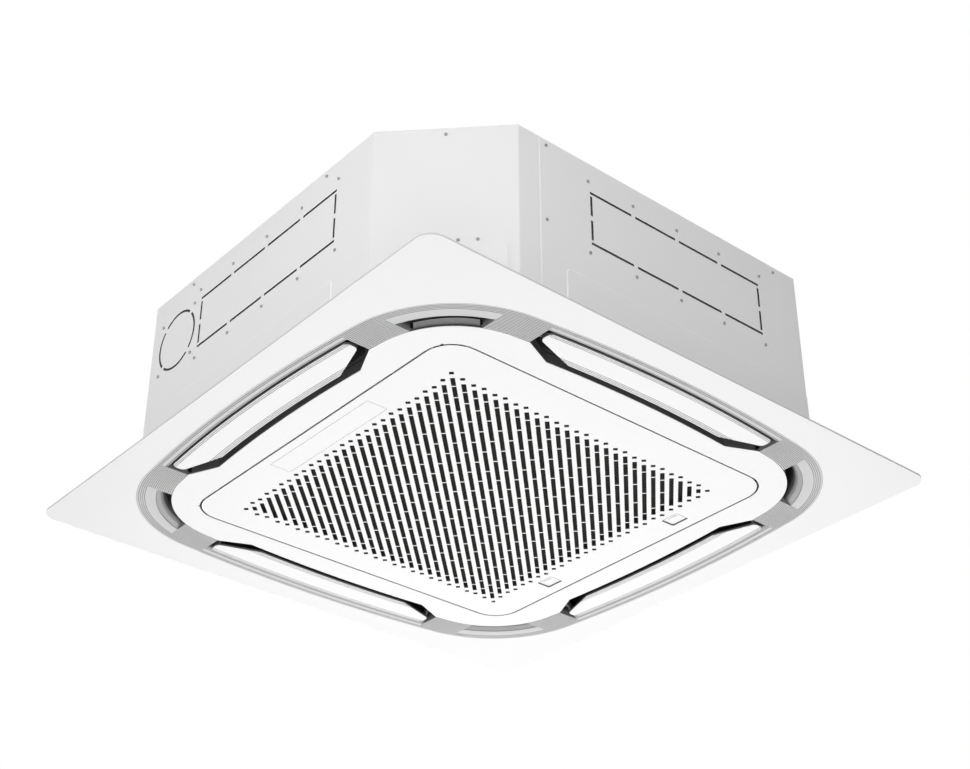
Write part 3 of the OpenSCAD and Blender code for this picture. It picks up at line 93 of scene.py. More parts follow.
# Knockouts: the middle along the wall, on a plain wall (0) and on a wall with a seam (1)
KNOCK_MID = (26.5 * MM, 22.5 * MM)
KNOCK = (343 * MM, 91 * MM)
KNOCK_LOW = 165 * MM
CUT_W = 4 * MM
BRIDGE = 8 * MM
CORNER_BRIDGE = 4 * MM
ROUND_KNOCK = (-208 * MM, 210.5 * MM)
ROUND_KNOCK_R = 48 * MM

# Casing screws
SCREW_R = 2.4 * MM
SCREW_H = 1.8 * MM
SCREW_HOLE_R = 1.9 * MM
SCREW_CLEAR = 0.1 * MM
SCREW_DEEP = 7 * MM
SCREW_SEAT = 0.3 * MM
SCREW_ROW = 16 * MM
SCREW_MORE = 7 * MM
SCREW_SQUARE = 89 * MM
SCREW_TOP = 12 * MM
SCREW_TOP_U = (172 * MM, 231 * MM)
SCREW_LOW_U = (18 * MM, 44 * MM)
SCREW_LOW_Z = 114 * MM
# Steps of a screw head: shares of its radius and of its height
SCREW_HEAD = ((1, 0), (1, 0.35), (0.86, 0.75), (0.55, 1))
CROSS_ARM = SCREW_R * 1.1
CROSS_W = 0.9 * MM
CROSS_LOW = SCREW_H * 0.4

# Intake face
GRILLE_W = 619 * MM
GRILLE_R = 44 * MM
GRILLE_T = 1.6 * MM
SLOT_PITCH = 13.45 * MM
SLOT_W = 6.6 * MM
SLOT_BRICK = 57.3 * MM
SLOT_MARGIN = 59 * MM
SLOT_MID = (2 * MM, 7 * MM)
SLOT_ODD = 3.5 * MM
SLOT_DOT = 6.4 * MM
SLOT_DOT_GAP = 9.2 * MM
SLOT_SHORT = 20.2 * MM
SLOT_BAR = 2.3 * MM
SLOT_LEAST = 25 * MM
SLOT_LONG = 60 * MM
SLOT_SPLIT = 27 * MM
BADGE = ((-277.5 * MM, 0), (35 * MM, 234 * MM))
LATCH_WINDOW = (26 * MM, 33 * MM)
LATCH_AT = (278 * MM, 143.5 * MM)
LATCH_ROUND = 3 * MM
LATCH_LINE = 1.1 * MM
LATCH_LINE_LOW = 0.25 * MM
FACE_EDGE = 0.15 * MM
FACE_RIM = 2 * MM
# A face of the sheet is a wall where its normal rises less than this
UPRIGHT = 0.3

# Panel: its rounded edges, and how far out its corner outlets begin
PLATE_EDGE = 0.9 * MM
CORNER_FROM = 240 * MM

# Greys of the panel by the height in mm above its face, painted shade on its plastic. The face is
# white, the ducts are dark, and grooves, hollows and the rounded rim are deeper in tone.
WHITE = 0.935
INNER_SIDE_SHADES = ((0, WHITE), (0.7, WHITE), (1.1, 0.22), (9, 0.17))
INNER_CORNER_SHADES = ((0, WHITE), (0.7, WHITE), (1.1, 0.05), (3, 0.15), (5, 0.45), (9, 0.97))
PLATE_SHADE_TONES = ((0, 0.9), (0.04, 0.9), (0.12, 0.45), (2, 0.7))
RING_SHADE_TONES = ((0, 0.62), (0.4, 0.58), (0.7, 0.18), (1.1, 0.38), (6, 0.35), (11, 0.1))
BLADE_SHADE_TONES = ((0, WHITE), (0.2, WHITE), (0.8, 0.34), (4, 0.16))
DULL_SHINE = 0.15

# Finishes: the scale of each texture per metre, the depth of its relief, and the shares by
# which its tone and gloss wander
PAINT_CLOUD = 5
PAINT_PEEL = 420
PAINT_DEPTH = 0.02 * MM
PAINT_TONE = 0.015
PAINT_GLOSS = 0.06
PLASTIC_CLOUD = 9
PLASTIC_GRAIN = 1400
PLASTIC_DEPTH = 0.015 * MM
PLASTIC_TONE = 0.01
PLASTIC_GLOSS = 0.05
ZINC_FLAKES = 110
METAL_CLOUD = 60
METAL_TONE = 0.08
METAL_GLOSS = 0.08
FOAM_DEPTH = 0.3 * MM
FOAM_TONES = (1.15, 0.8)
FIN_LINES = 180
FIN_DEPTH = 0.6 * MM
NET_LINES = 1000
NET_DEPTH = 0.2 * MM

# Light and floor. A lamp has a name, its place and what it aims at in metres, its side in
# metres and its power in watts.
WORLD_LEVEL = 0.09
LAMPS = (
    ("key", (-1.2, -1.3, 0.3), (0, 0, 0.15), 0.9, 9.4),
    ("left", (-3.0, 0.8, 0.6), (-0.4, 0, 0.15), 1.6, 38.5),
    ("right", (0.8, -3.0, 0.6), (0, -0.4, 0.15), 1.6, 20.5),
    ("under", (0.9, 0.9, -2.0), (0, 0, 0), 2.4, 51),
    ("behind", (2.6, 2.6, 0.9), (0.2, 0.2, 0.15), 1.6, 30),
    ("near", (-1.4, -1.4, -2.2), (0, 0, 0), 2.0, 22.5),
)
FLOOR_Z = -3.4
FLOOR_SIZE = 30
FLOOR_LEVEL = 0.82

# Camera, fitted to the edges of the photo
LENS = 66.52
SENSOR = 36
CAMERA_AT = (-1.5288, -1.8227, -1.2926)
CAMERA_RIGHT = (0.7628, -0.6467, 0)
CAMERA_FORWARD = (0.5476, 0.6459, 0.5320)


def on_side(i):
    """Frame of wall i: u runs along the wall, v is up and w is outward from its face."""
    basis = Matrix(((0, 0, 1, CASING_HALF), (1, 0, 0, 0), (0, 1, 0, 0), (0, 0, 0, 1)))
    return Matrix.Rotation(math.radians(90 * i), 4, "Z") @ basis


def on_corner(i):
    """Frame of the cut corner between walls i and i + 1."""
    basis = Matrix(((0, 0, 1, CASING_DIAG), (1, 0, 0, 0), (0, 1, 0, 0), (0, 0, 0, 1)))
    return Matrix.Rotation(math.radians(90 * i + 45), 4, "Z") @ basis


def seamed(i):
    """Whether wall i has the seam and no round knockout."""
    return i in (0, 3)


def arc(centre, radius, start, end, steps):
    """Points of an arc, its angles in degrees."""
    angles = [math.radians(start + (end - start) * k / steps) for k in range(steps + 1)]
    return [(centre[0] + radius * math.cos(a), centre[1] + radius * math.sin(a)) for a in angles]


def circle(centre, radius, count=48):
    """Points of a whole circle, anticlockwise."""
    return arc(centre, radius, 0, 360 - 360 / count, count - 1)


def rounded_rect(size, radius, mid=(0, 0), steps=6):
    """Outline of a rectangle with round corners, anticlockwise."""
    x, y = size[0] / 2 - radius, size[1] / 2 - radius
    corners = ((x, y, 0), (-x, y, 90), (-x, -y, 180), (x, -y, 270))
    points = []
    for cx, cy, start in corners:
        points += arc((mid[0] + cx, mid[1] + cy), radius, start, start + 90, steps)
    return points


def rect(mid, size):
    """Outline of a rectangle, anticlockwise."""
    corners = ((-1, -1), (1, -1), (1, 1), (-1, 1))
    return [(mid[0] + sx * size[0] / 2, mid[1] + sy * size[1] / 2) for sx, sy in corners]


def casing_plan(inset):
    """Plan of the casing, drawn in by an inset, with its eight bends rounded."""
    half = CASING_HALF - inset
    short = half - CASING_CUT + inset * (2 - math.sqrt(2))
    radius = max(BEND - inset, BEND / 4)
    back = radius * math.tan(math.radians(22.5))
    points = []
    for i in range(4):
        turn = Matrix.Rotation(math.radians(90 * i), 2)
        for start, centre in ((-45, (half - radius, back - short)),
                              (0, (half - radius, short - back))):
            bend = arc(centre, radius, start, start + 45, steps=5)
            points += [tuple(turn @ Vector(p)) for p in bend]
    return points


def new_object(name, data):
    """A new object in the scene."""
    piece = bpy.data.objects.new(name, data)
    bpy.context.scene.collection.objects.link(piece)
    return piece


def loft(work, loops, caps=True):
    """Adds a skin over loops of equal length to a bmesh, closed by a face on each end."""
    rows = [[work.verts.new(p) for p in loop] for loop in loops]
    for low, high in zip(rows, rows[1:]):
        for k in range(len(low)):
            nxt = (k + 1) % len(low)
            work.faces.new((low[k], low[nxt], high[nxt], high[k]))
    if caps:
        work.faces.new(rows[0][::-1])
        work.faces.new(rows[-1])


def ring_block(work, place, outer, inner, low, high):
    """Adds a closed flat ring to a bmesh, between two outlines of equal length."""
    lines = ((outer, low), (outer, high), (inner, high), (inner, low), (outer, low))
    loft(work, [[place @ Vector((*p, h)) for p in line] for line, h in lines], caps=False)
    bmesh.ops.remove_doubles(work, verts=work.verts, dist=MERGE)


def block(work, place, outline, low, high, top=None):
    """Adds a closed prism to a bmesh: an outline in a frame, from one height to another.

    With a top outline its sides are upright up to the frame's plane and slope from there.
    """
    loops = [[place @ Vector((*p, low)) for p in outline]]
    if top:
        loops.append([place @ Vector((*p, 0)) for p in outline])
    loops.append([place @ Vector((*p, high)) for p in (top or outline)])
    loft(work, loops)


def to_mesh(work, name):
    """The mesh of a bmesh, with its faces turned outward."""
    bmesh.ops.recalc_face_normals(work, faces=work.faces)
    mesh = bpy.data.meshes.new(name)
    work.to_mesh(mesh)
    work.free()
    return mesh


def applied(piece):
    """Puts the result of a piece's modifiers in its mesh."""
    bpy.context.view_layer.update()
    shaped = piece.evaluated_get(bpy.context.evaluated_depsgraph_get())
    mesh = bpy.data.meshes.new_from_object(shaped)
    piece.modifiers.clear()
    piece.data = mesh


def combine(piece, work, operation, overlapping=False, skin=None):
    """Joins the shapes in a bmesh to a piece, or cuts them out of it.

    A skin is the material of the cut faces.
    """
    tool = new_object("tool", to_mesh(work, "tool"))
    step = piece.modifiers.new("combine", "BOOLEAN")
    step.object = tool
    step.operation = operation
    step.solver = "EXACT"
    step.use_self = overlapping
    if skin:
        tool.data.materials.append(skin)
        step.material_mode = "TRANSFER"
    applied(piece)
    bpy.data.objects.remove(tool)


def soften(piece, angle=SHARP):
    """Smooth shading, with the edges sharper than an angle kept crisp."""
    piece.data.polygons.foreach_set("use_smooth", [True] * len(piece.data.polygons))
    piece.data.set_sharp_from_angle(angle=math.radians(angle))


# Materials

def shader_of(name, color, roughness, metallic=0.0):
    """A new material with its colour and gloss set, as its node tree and shader."""
    made = bpy.data.materials.new(name)
    made.use_nodes = True
    shader = made.node_tree.nodes["Principled BSDF"]
    shader.inputs["Base Color"].default_value = (*color, 1)
    shader.inputs["Roughness"].default_value = roughness
    shader.inputs["Metallic"].default_value = metallic
    return made, made.node_tree, shader


def add_node(tree, kind, **settings):
    """A new node with its inputs set by name."""
    node = tree.nodes.new(kind)
    for key, value in settings.items():
        node.inputs[key.replace("_", " ")].default_value = value
    return node


def texture(tree, kind, scale, **settings):
    """A texture laid by the place on the part, in metres."""
    place = tree.nodes.new("ShaderNodeTexCoord")
    node = add_node(tree, kind, Scale=scale, **settings)
    tree.links.new(place.outputs["Object"], node.inputs["Vector"])
    return node


def tone(tree, shader, value, dark, light):
    """Colour that runs from dark to light with a texture's value."""
    ramp = tree.nodes.new("ShaderNodeValToRGB")
    ramp.color_ramp.elements[0].color = (*dark, 1)
    ramp.color_ramp.elements[1].color = (*light, 1)
    tree.links.new(value, ramp.inputs["Fac"])
    tree.links.new(ramp.outputs["Color"], shader.inputs["Base Color"])


def gloss(tree, shader, value, middle, spread):
    """Roughness that wanders about a middle with a texture's value."""
    scaled = add_node(tree, "ShaderNodeMapRange")
    scaled.inputs["To Min"].default_value = middle - spread
    scaled.inputs["To Max"].default_value = middle + spread
    tree.links.new(value, scaled.inputs["Value"])
    tree.links.new(scaled.outputs["Result"], shader.inputs["Roughness"])


def bump(tree, shader, value, depth, strength=1.0):
    """Relief of a given depth in metres from a texture's value."""
    relief = add_node(tree, "ShaderNodeBump", Distance=depth, Strength=strength)
    tree.links.new(value, relief.inputs["Height"])
    tree.links.new(relief.outputs["Normal"], shader.inputs["Normal"])


def grey(value):
    """A colour of equal red, green and blue."""
    return (value, value, value)


def shade(color, share):
    """A colour made darker or lighter by a share."""
    return tuple(min(c * share, 1.0) for c in color)


def clouded(tree, shader, value, color, share):
    """A colour that wanders by a share of itself with a texture's value."""
    tone(tree, shader, value, shade(color, 1 - share), shade(color, 1 + share))


def by_height(tree, split, stops):
    """Painted shade by the height above the panel's face: stops of (height in mm, grey)."""
    scaled = add_node(tree, "ShaderNodeMapRange")
    top = stops[-1][0]
    scaled.inputs["From Max"].default_value = top * MM
    tree.links.new(split.outputs["Z"], scaled.inputs["Value"])
    ramp = tree.nodes.new("ShaderNodeValToRGB")
    line = ramp.color_ramp
    while len(line.elements) < len(stops):
        line.elements.new(1)
    for element, (height, value) in zip(line.elements, stops):
        element.position = height / top
        element.color = (*grey(value), 1)
    tree.links.new(scaled.outputs["Result"], ramp.inputs["Fac"])
    return ramp.outputs["Color"]


def calculated(tree, operation, *values):
    """The result of a Math node on numbers and sockets."""
    node = tree.nodes.new("ShaderNodeMath")
    node.operation = operation
    for socket, value in zip(node.inputs, values):
        if isinstance(value, float):
            socket.default_value = value
        else:
            tree.links.new(value, socket)
    return node.outputs[0]


def in_corners(tree, split):
    """1 in the panel's corner outlets and 0 along its sides."""
    away = [calculated(tree, "ABSOLUTE", split.outputs[k]) for k in (0, 1)]
    return calculated(tree, "GREATER_THAN", calculated(tree, "MINIMUM", *away), CORNER_FROM)


def painted(name, color, roughness):
    """Sprayed paint on steel: a slight cloud in the tone and a fine orange peel."""
    made, tree, shader = shader_of(name, color, roughness)
    cloud = texture(tree, "ShaderNodeTexNoise", PAINT_CLOUD, Detail=3)
    peel = texture(tree, "ShaderNodeTexNoise", PAINT_PEEL, Detail=2)
    clouded(tree, shader, cloud.outputs["Fac"], color, PAINT_TONE)
    gloss(tree, shader, peel.outputs["Fac"], roughness, PAINT_GLOSS)
    bump(tree, shader, peel.outputs["Fac"], PAINT_DEPTH, strength=0.5)
    return made


def satin(tree, shader, roughness, grain=PLASTIC_GRAIN, depth=PLASTIC_DEPTH):
    """The fine grain of moulded plastic."""
    fine = texture(tree, "ShaderNodeTexNoise", grain, Detail=2)
    gloss(tree, shader, fine.outputs["Fac"], roughness, PLASTIC_GLOSS)
    bump(tree, shader, fine.outputs["Fac"], depth, strength=0.6)


def moulded(name, color, roughness, **grain):
    """Moulded plastic of one colour."""
    made, tree, shader = shader_of(name, color, roughness)
    cloud = texture(tree, "ShaderNodeTexNoise", PLASTIC_CLOUD, Detail=2)
    clouded(tree, shader, cloud.outputs["Fac"], color, PLASTIC_TONE)
    satin(tree, shader, roughness, **grain)
    return made


def galvanised(name):
    """Zinc-coated steel with its patchwork of crystals."""
    roughness = 0.38
    made, tree, shader = shader_of(name, (0.42, 0.43, 0.44), roughness, metallic=1.0)
    flakes = texture(tree, "ShaderNodeTexVoronoi", ZINC_FLAKES)
    tone(tree, shader, flakes.outputs["Color"], (0.34, 0.35, 0.36), (0.5, 0.51, 0.52))
    gloss(tree, shader, flakes.outputs["Color"], roughness, METAL_GLOSS)
    return made


def metal(name, color, roughness):
    """Bare metal with a slight change of tone and gloss."""
    made, tree, shader = shader_of(name, color, roughness, metallic=1.0)
    cloud = texture(tree, "ShaderNodeTexNoise", METAL_CLOUD, Detail=5)
    clouded(tree, shader, cloud.outputs["Fac"], color, METAL_TONE)
    gloss(tree, shader, cloud.outputs["Fac"], roughness, METAL_GLOSS)
    return made


def foam(name, color, beads):
    """Foam, its beads a little darker at their edges."""
    made, tree, shader = shader_of(name, color, 0.85)
    cells = texture(tree, "ShaderNodeTexVoronoi", beads)
    tone(tree, shader, cells.outputs["Distance"], *[shade(color, k) for k in FOAM_TONES])
    bump(tree, shader, cells.outputs["Distance"], FOAM_DEPTH, strength=0.5)
    return made


def finned(name):
    """Aluminium fins, edge on, with painted shade in the thin gaps between them."""
    made, tree, shader = shader_of(name, (0.75, 0.76, 0.77), 0.4, metallic=1.0)
    fins = texture(tree, "ShaderNodeTexWave", FIN_LINES)
    fins.bands_direction = "DIAGONAL"
    tone(tree, shader, fins.outputs["Fac"], (0.25, 0.25, 0.26), (0.8, 0.81, 0.82))
    bump(tree, shader, fins.outputs["Fac"], FIN_DEPTH)
    return made


def netting(name):
    """A fine dark filter net."""
    made, tree, shader = shader_of(name, (0.02, 0.017, 0.015), 0.8)
    threads = texture(tree, "ShaderNodeTexChecker", NET_LINES)
    tone(tree, shader, threads.outputs["Fac"], (0.012, 0.01, 0.009), (0.045, 0.04, 0.037))
    bump(tree, shader, threads.outputs["Fac"], NET_DEPTH)
    return made


def stepped(name, stops, roughness, corner_stops=None):
    """Moulded plastic with painted shade whose tone goes by the height above the panel's face.

    Corner stops are the painted shade tones in the corner outlets, where these differ.
    """
    made, tree, shader = shader_of(name, grey(stops[0][1]), roughness)
    place = tree.nodes.new("ShaderNodeTexCoord")
    split = tree.nodes.new("ShaderNodeSeparateXYZ")
    tree.links.new(place.outputs["Object"], split.inputs["Vector"])
    color = by_height(tree, split, stops)
    if corner_stops:
        mix = tree.nodes.new("ShaderNodeMix")
        mix.data_type = "RGBA"
        # Inputs 0, 6 and 7 of a colour mix are its share and its two colours, output 2 the mix
        tree.links.new(in_corners(tree, split), mix.inputs[0])
        tree.links.new(color, mix.inputs[6])
        tree.links.new(by_height(tree, split, corner_stops), mix.inputs[7])
        color = mix.outputs[2]
    tree.links.new(color, shader.inputs["Base Color"])
    satin(tree, shader, roughness)
    return made


finishes = {
    "casing_steel": painted("casing_paint", grey(0.86), 0.42),
    "bare_steel": galvanised("zinc_steel"),
    "motor_paint": painted("motor_paint", (0.06, 0.06, 0.065), 0.4),
    "black_rubber": moulded("black_rubber", grey(0.02), 0.7, grain=500, depth=0.04 * MM),
    "dark_foam": foam("dark_foam", (0.06, 0.06, 0.062), 300),
    "fan_plastic": moulded("fan_plastic", (0.72, 0.72, 0.71), 0.5),
    "dark_plastic": moulded("dark_plastic", (0.035, 0.033, 0.032), 0.5),
    "coil_aluminium": finned("coil_fins"),
    "copper": metal("copper", (0.72, 0.38, 0.24), 0.32),
    "brass_fittings": metal("brass", (0.76, 0.57, 0.27), 0.3),
    "board_green": moulded("board_green", (0.02, 0.13, 0.06), 0.35, grain=300,
                           depth=0.05 * MM),
    "pale_plastic": moulded("pale_plastic", grey(0.55), 0.45),
    "panel_white": moulded("panel_white", grey(WHITE), 0.4),
    "ring_grey": moulded("ring_grey", grey(0.6), 0.42),
    "louver_white": moulded("louver_white", grey(WHITE), 0.4),
}
# Painted shade on the walls of slots, cuts and holes
slot_painted_shade = moulded("slot_painted_shade", (0.03, 0.022, 0.02), 0.7)
# Painted highlight on the slope round the pressed panels
press_painted_highlight = painted("press_painted_highlight", grey(1), 0.42)
screw_dark = metal("screw_dark", grey(0.3), 0.45)
mesh_dark = netting("filter_net")
# Painted shade by height on the panel's plastic parts
inner_painted_shade = stepped("inner_painted_shade", INNER_SIDE_SHADES, 0.4, INNER_CORNER_SHADES)
plate_painted_shade = stepped("plate_painted_shade", PLATE_SHADE_TONES, 0.4)
ring_painted_shade = stepped("ring_painted_shade", RING_SHADE_TONES, 0.42)
blade_painted_shade = stepped("blade_painted_shade", BLADE_SHADE_TONES, 0.4)
# Painted shade for the lines round the latch windows
outline_painted_shade = moulded("outline_painted_shade", grey(0.14), 0.5)
for dull in (slot_painted_shade, mesh_dark, outline_painted_shade):
    skin = dull.node_tree.nodes["Principled BSDF"]
    skin.inputs["Specular IOR Level"].default_value = DULL_SHINE

for part in frame["record"]["subparts"]:
    skins = nodes[part["node"]].data.materials
    skins.clear()
    skins.append(finishes[part["material_slot"]])
# Looks of their own: painted shade on the panel's plastic by height, and a dark filter net
own_looks = {
    "filter_mesh": mesh_dark,
    "casing_screws": screw_dark,
    "inner_panel": inner_painted_shade,
    "panel_frame": plate_painted_shade,
    "ring_sides": ring_painted_shade,
    "ring_corners": ring_painted_shade,
    "louver_right": blade_painted_shade,
    "louver_back": blade_painted_shade,
    "louver_left": blade_painted_shade,
    "louver_front": blade_painted_shade,
}
for name, look in own_looks.items():
    nodes[name].data.materials[0] = look

rounding = nodes["panel_frame"].modifiers.new("rounding", "BEVEL")
rounding.width = PLATE_EDGE
rounding.segments = 2
rounding.limit_method = "ANGLE"
rounding.angle_limit = math.radians(PLATE_SHARP)


# Casing

def wall_slits(i):
    """Cuts round the rectangular knockout on wall i, each a middle and a size in its frame.

    They follow its four sides and are split by bridges.
    """
    mid_u = KNOCK_MID[seamed(i)]
    mid_v = KNOCK_LOW + KNOCK[1] / 2
    cuts = []
    along = (KNOCK[0] - 3 * BRIDGE) / 4
    for k in range(4):
        u = mid_u - KNOCK[0] / 2 + along / 2 + k * (along + BRIDGE)
        for s in (-1, 1):
            cuts.append(((u, mid_v + s * (KNOCK[1] - CUT_W) / 2), (along, CUT_W)))
    up = (KNOCK[1] - BRIDGE) / 2 - CORNER_BRIDGE - CUT_W
    for s in (-1, 1):
        for side in (-1, 1):
            middle = (mid_u + side * (KNOCK[0] - CUT_W) / 2, mid_v + s * (BRIDGE + up) / 2)
            cuts.append((middle, (CUT_W, up)))
    return cuts


def wall_screws(i):
    """Places of the screws on wall i, in its frame."""
    mid_u, side = KNOCK_MID[seamed(i)], SCREW_SQUARE / 2
    rows = (KNOCK_LOW - SCREW_ROW, KNOCK_LOW + KNOCK[1] + SCREW_ROW)
    places = [(mid_u + (k / 4 - 0.5) * (KNOCK[0] + SCREW_MORE), v) for k in range(5) for v in rows]
    places += [(s * SCREW_TOP_U[seamed(i)], CASING_TOP - SCREW_TOP) for s in (-1, 1)]
    if seamed(i):
        places.append((SEAM_U, ROUND_KNOCK[1] - side))
    else:
        places += [(ROUND_KNOCK[0] + a * side, ROUND_KNOCK[1] + b * side)
                   for a in (-1, 1) for b in (-1, 1)]
    return places


def screw_frames():
    """Frames of all the casing's screws, each with w outward and its origin on the steel."""
    frames = []
    for i in range(4):
        for u, v in wall_screws(i):
            lift = EMBOSS if seamed(i) and abs(u - SEAM_U) < SEAM_W / 2 else 0
            frames.append(on_side(i) @ Matrix.Translation((u, v, lift)))
        low = [(u, SCREW_LOW_Z) for u in SCREW_LOW_U]
        for u, v in [(0, CASING_TOP - SCREW_TOP), *low]:
            frames.append(on_corner(i) @ Matrix.Translation((u, v, 0)))
    return frames


def casing_skin():
    """The folded sheet: outside from the lip up and over the top, and inside back down."""
    work = bmesh.new()
    outside = [(LIP, CASING_LOW), (BEND, CASING_LOW), (0, CASING_LOW + SHEET),
               (0, CASING_TOP - TOP_BEND)]
    for angle in (22.5, 45, 67.5, 90):
        a = math.radians(angle)
        outside.append((TOP_BEND * (1 - math.cos(a)), CASING_TOP - TOP_BEND * (1 - math.sin(a))))
    inside = [(LIP, CASING_LOW + SHEET), (SHEET, CASING_LOW + SHEET), (SHEET, CASING_TOP - SHEET)]
    rows = inside[::-1] + outside
    loft(work, [[(x, y, z) for x, y in casing_plan(inset)] for inset, z in rows])
    return new_object("casing_shell", to_mesh(work, "casing_shell"))


def casing_raised():
    """Pressed panels, seams, and the ribs and round pad on the top."""
    work = bmesh.new()
    slope = PRESS_SLOPE
    for i in range(4):
        mid = (0, CASING_LOW + EMBOSS_SIZE[1] / 2 + SHEET)
        outline = rounded_rect(EMBOSS_SIZE, EMBOSS_ROUND, mid)
        inner = rounded_rect([w - 2 * slope for w in EMBOSS_SIZE], EMBOSS_ROUND - slope, mid)
        block(work, on_side(i), outline, -SINK, EMBOSS, inner)
        if seamed(i):
            tall = CASING_TOP - TOP_BEND - CASING_LOW - 2 * SHEET
            mid = (SEAM_U, CASING_LOW + SHEET + tall / 2)
            block(work, on_side(i), rect(mid, (SEAM_W, tall)), -SINK, EMBOSS,
                  rect(mid, (SEAM_W - slope, tall)))
    top = Matrix.Translation((0, 0, CASING_TOP))
    for k in range(8):
        reach = (CASING_HALF if k % 2 == 0 else CASING_DIAG) - RIB_EDGE - RIB_START
        mid = (RIB_START + reach / 2, 0)
        place = Matrix.Rotation(math.radians(45 * k), 4, "Z") @ top
        outline = rounded_rect((reach, RIB_W), RIB_W / 2 - slope, mid)
        inner = rounded_rect((reach - 4 * slope, RIB_W - 4 * slope), RIB_W / 2 - 3 * slope,
                             mid)
        block(work, place, outline, -SINK, RIB_H, inner)
    block(work, top, circle((0, 0), PAD_R), -SINK, RIB_H, circle((0, 0), PAD_R - 2 * slope))
    return work


def casing_cuts():
    """Knockout cuts, screw holes and the openings for cable, pipes and drain."""
    work = bmesh.new()
    deep, out = -3 * SHEET, 2 * SHEET
    for i in range(4):
        for mid, size in wall_slits(i):
            block(work, on_side(i), rect(mid, size), deep, out)
        if not seamed(i):
            gap = math.degrees(BRIDGE / ROUND_KNOCK_R)
            for a in (45, 135, 225, 315):
                start, end = a + gap / 2, a + 90 - gap / 2
                outer = arc(ROUND_KNOCK, ROUND_KNOCK_R + CUT_W / 2, start, end, steps=14)
                inner = arc(ROUND_KNOCK, ROUND_KNOCK_R - CUT_W / 2, end, start, steps=14)
                block(work, on_side(i), outer + inner, deep, out)
    for place in screw_frames():
        block(work, place, circle((0, 0), SCREW_HOLE_R, count=16), deep, out)
    block(work, on_side(0), circle(*CABLE_HOLE), deep, out)
    block(work, on_corner(0), rect(*PIPE_OPENING), deep, out)
    block(work, on_corner(0), circle(*DRAIN_HOLE), deep, out)
    return work


def in_press_line(face):
    """Whether a face is the narrow slope round a wall's pressed panel, given a painted highlight.
    """
    height = face.center.z - CASING_LOW - SHEET
    level = max(abs(face.normal.x), abs(face.normal.y))
    return (PRESS_LINE[0] < height < PRESS_LINE[1]
            and PRESS_LEVEL[0] < level < PRESS_LEVEL[1])


def make_casing():
    """The casing and its top as one folded shell, with a painted highlight on its pressings' line.
    """
    piece = casing_skin()
    combine(piece, casing_raised(), "UNION", overlapping=True)
    piece.data.materials.clear()
    piece.data.materials.append(finishes["casing_steel"])
    # The cut faces of the knockouts, holes and openings get painted shade
    combine(piece, casing_cuts(), "DIFFERENCE", skin=slot_painted_shade)
    # Painted highlight: a paler paint on the slope round each pressed panel
    piece.data.materials.append(press_painted_highlight)
    for face in piece.data.polygons:
        if face.material_index == 0 and in_press_line(face):
            face.material_index = 2
    soften(piece, CASING_SHARP)
    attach(piece, "unit")
    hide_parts("casing", "casing_top")


def make_casing_screws():
    """Pan-head screws with a cross recess."""
    work = bmesh.new()
    shank = SCREW_HOLE_R - SCREW_CLEAR
    profile = [(shank, -SCREW_DEEP), (shank, SCREW_SEAT)]
    profile += [(SCREW_R * r, SCREW_SEAT + SCREW_H * h) for r, h in SCREW_HEAD]
    loft(work, [[(x, y, h) for x, y in circle((0, 0), r, count=24)] for r, h in profile])
    one = new_object("screw", to_mesh(work, "screw"))
    cross = bmesh.new()
    a, w = CROSS_ARM / 2, CROSS_W / 2
    outline = []
    for c, s in ((1, 0), (0, 1), (-1, 0), (0, -1)):
        outline += [(c * x - s * y, s * x + c * y) for x, y in ((-w, -a), (w, -a), (w, -w))]
    block(cross, Matrix.Identity(4), outline, SCREW_SEAT + CROSS_LOW, 3 * SCREW_H)
    combine(one, cross, "DIFFERENCE")
    joined = bmesh.new()
    for place in screw_frames():
        copy = one.data.copy()
        copy.transform(place)
        joined.from_mesh(copy)
    bpy.data.objects.remove(one)
    piece = new_object("casing_screw_heads", to_mesh(joined, "casing_screw_heads"))
    soften(piece)
    piece.data.materials.append(screw_dark)
    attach(piece, "unit")
    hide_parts("casing_screws")


# Slotted face of the intake

def bars(k, top):
    """Places along column k where a thin bar crosses its slots."""
    odd = k % 2 != 0
    count = math.floor((top - SLOT_LEAST) / SLOT_BRICK + (0 if odd else 0.5))
    right = [SLOT_BRICK * (j if odd else j - 0.5) for j in range(1, count + 1)]
    last = right[-1] if right else 0
    if abs(k) < 2 and top - last > SLOT_LONG:
        right.append(top - SLOT_SPLIT - SLOT_BAR / 2)
    return [-x for x in right[::-1]] + ([0] if odd else []) + right


def column(k, reach):
    """Slots of column k, as (start, end) along it from its middle."""
    longer = 2 * SLOT_ODD if k == 0 else SLOT_ODD if k % 2 else 0
    end = reach - SLOT_PITCH * abs(k) + longer
    if end < SLOT_DOT:
        return [(-SLOT_DOT / 2, SLOT_DOT / 2)]
    slots = [(SLOT_DOT - end, -end), (end - SLOT_DOT, end)]
    inner = end - SLOT_DOT - SLOT_DOT_GAP
    top = inner - SLOT_SHORT - SLOT_BAR
    if top < SLOT_LEAST:
        return slots + [(-inner, inner)]
    slots += [(-inner, SLOT_SHORT - inner), (inner - SLOT_SHORT, inner)]
    ends = [-top] + [x + s * SLOT_BAR / 2 for x in bars(k, top) for s in (-1, 1)] + [top]
    return slots + list(zip(ends[::2], ends[1::2]))


def slot_outlines():
    """Outlines of all the slots, which run slantwise over the face."""
    reach = (GRILLE_W / 2 - SLOT_MARGIN) * math.sqrt(2)
    count = math.floor(reach / SLOT_PITCH)
    turn = Matrix.Rotation(math.radians(45), 2)
    outlines = []
    for k in range(-count, count + 1):
        for start, end in column(k, reach):
            size = (abs(end - start), SLOT_W)
            flat = rect(((start + end) / 2, k * SLOT_PITCH), size)
            outlines.append([tuple(turn @ Vector(p) + Vector(SLOT_MID)) for p in flat])
    return outlines


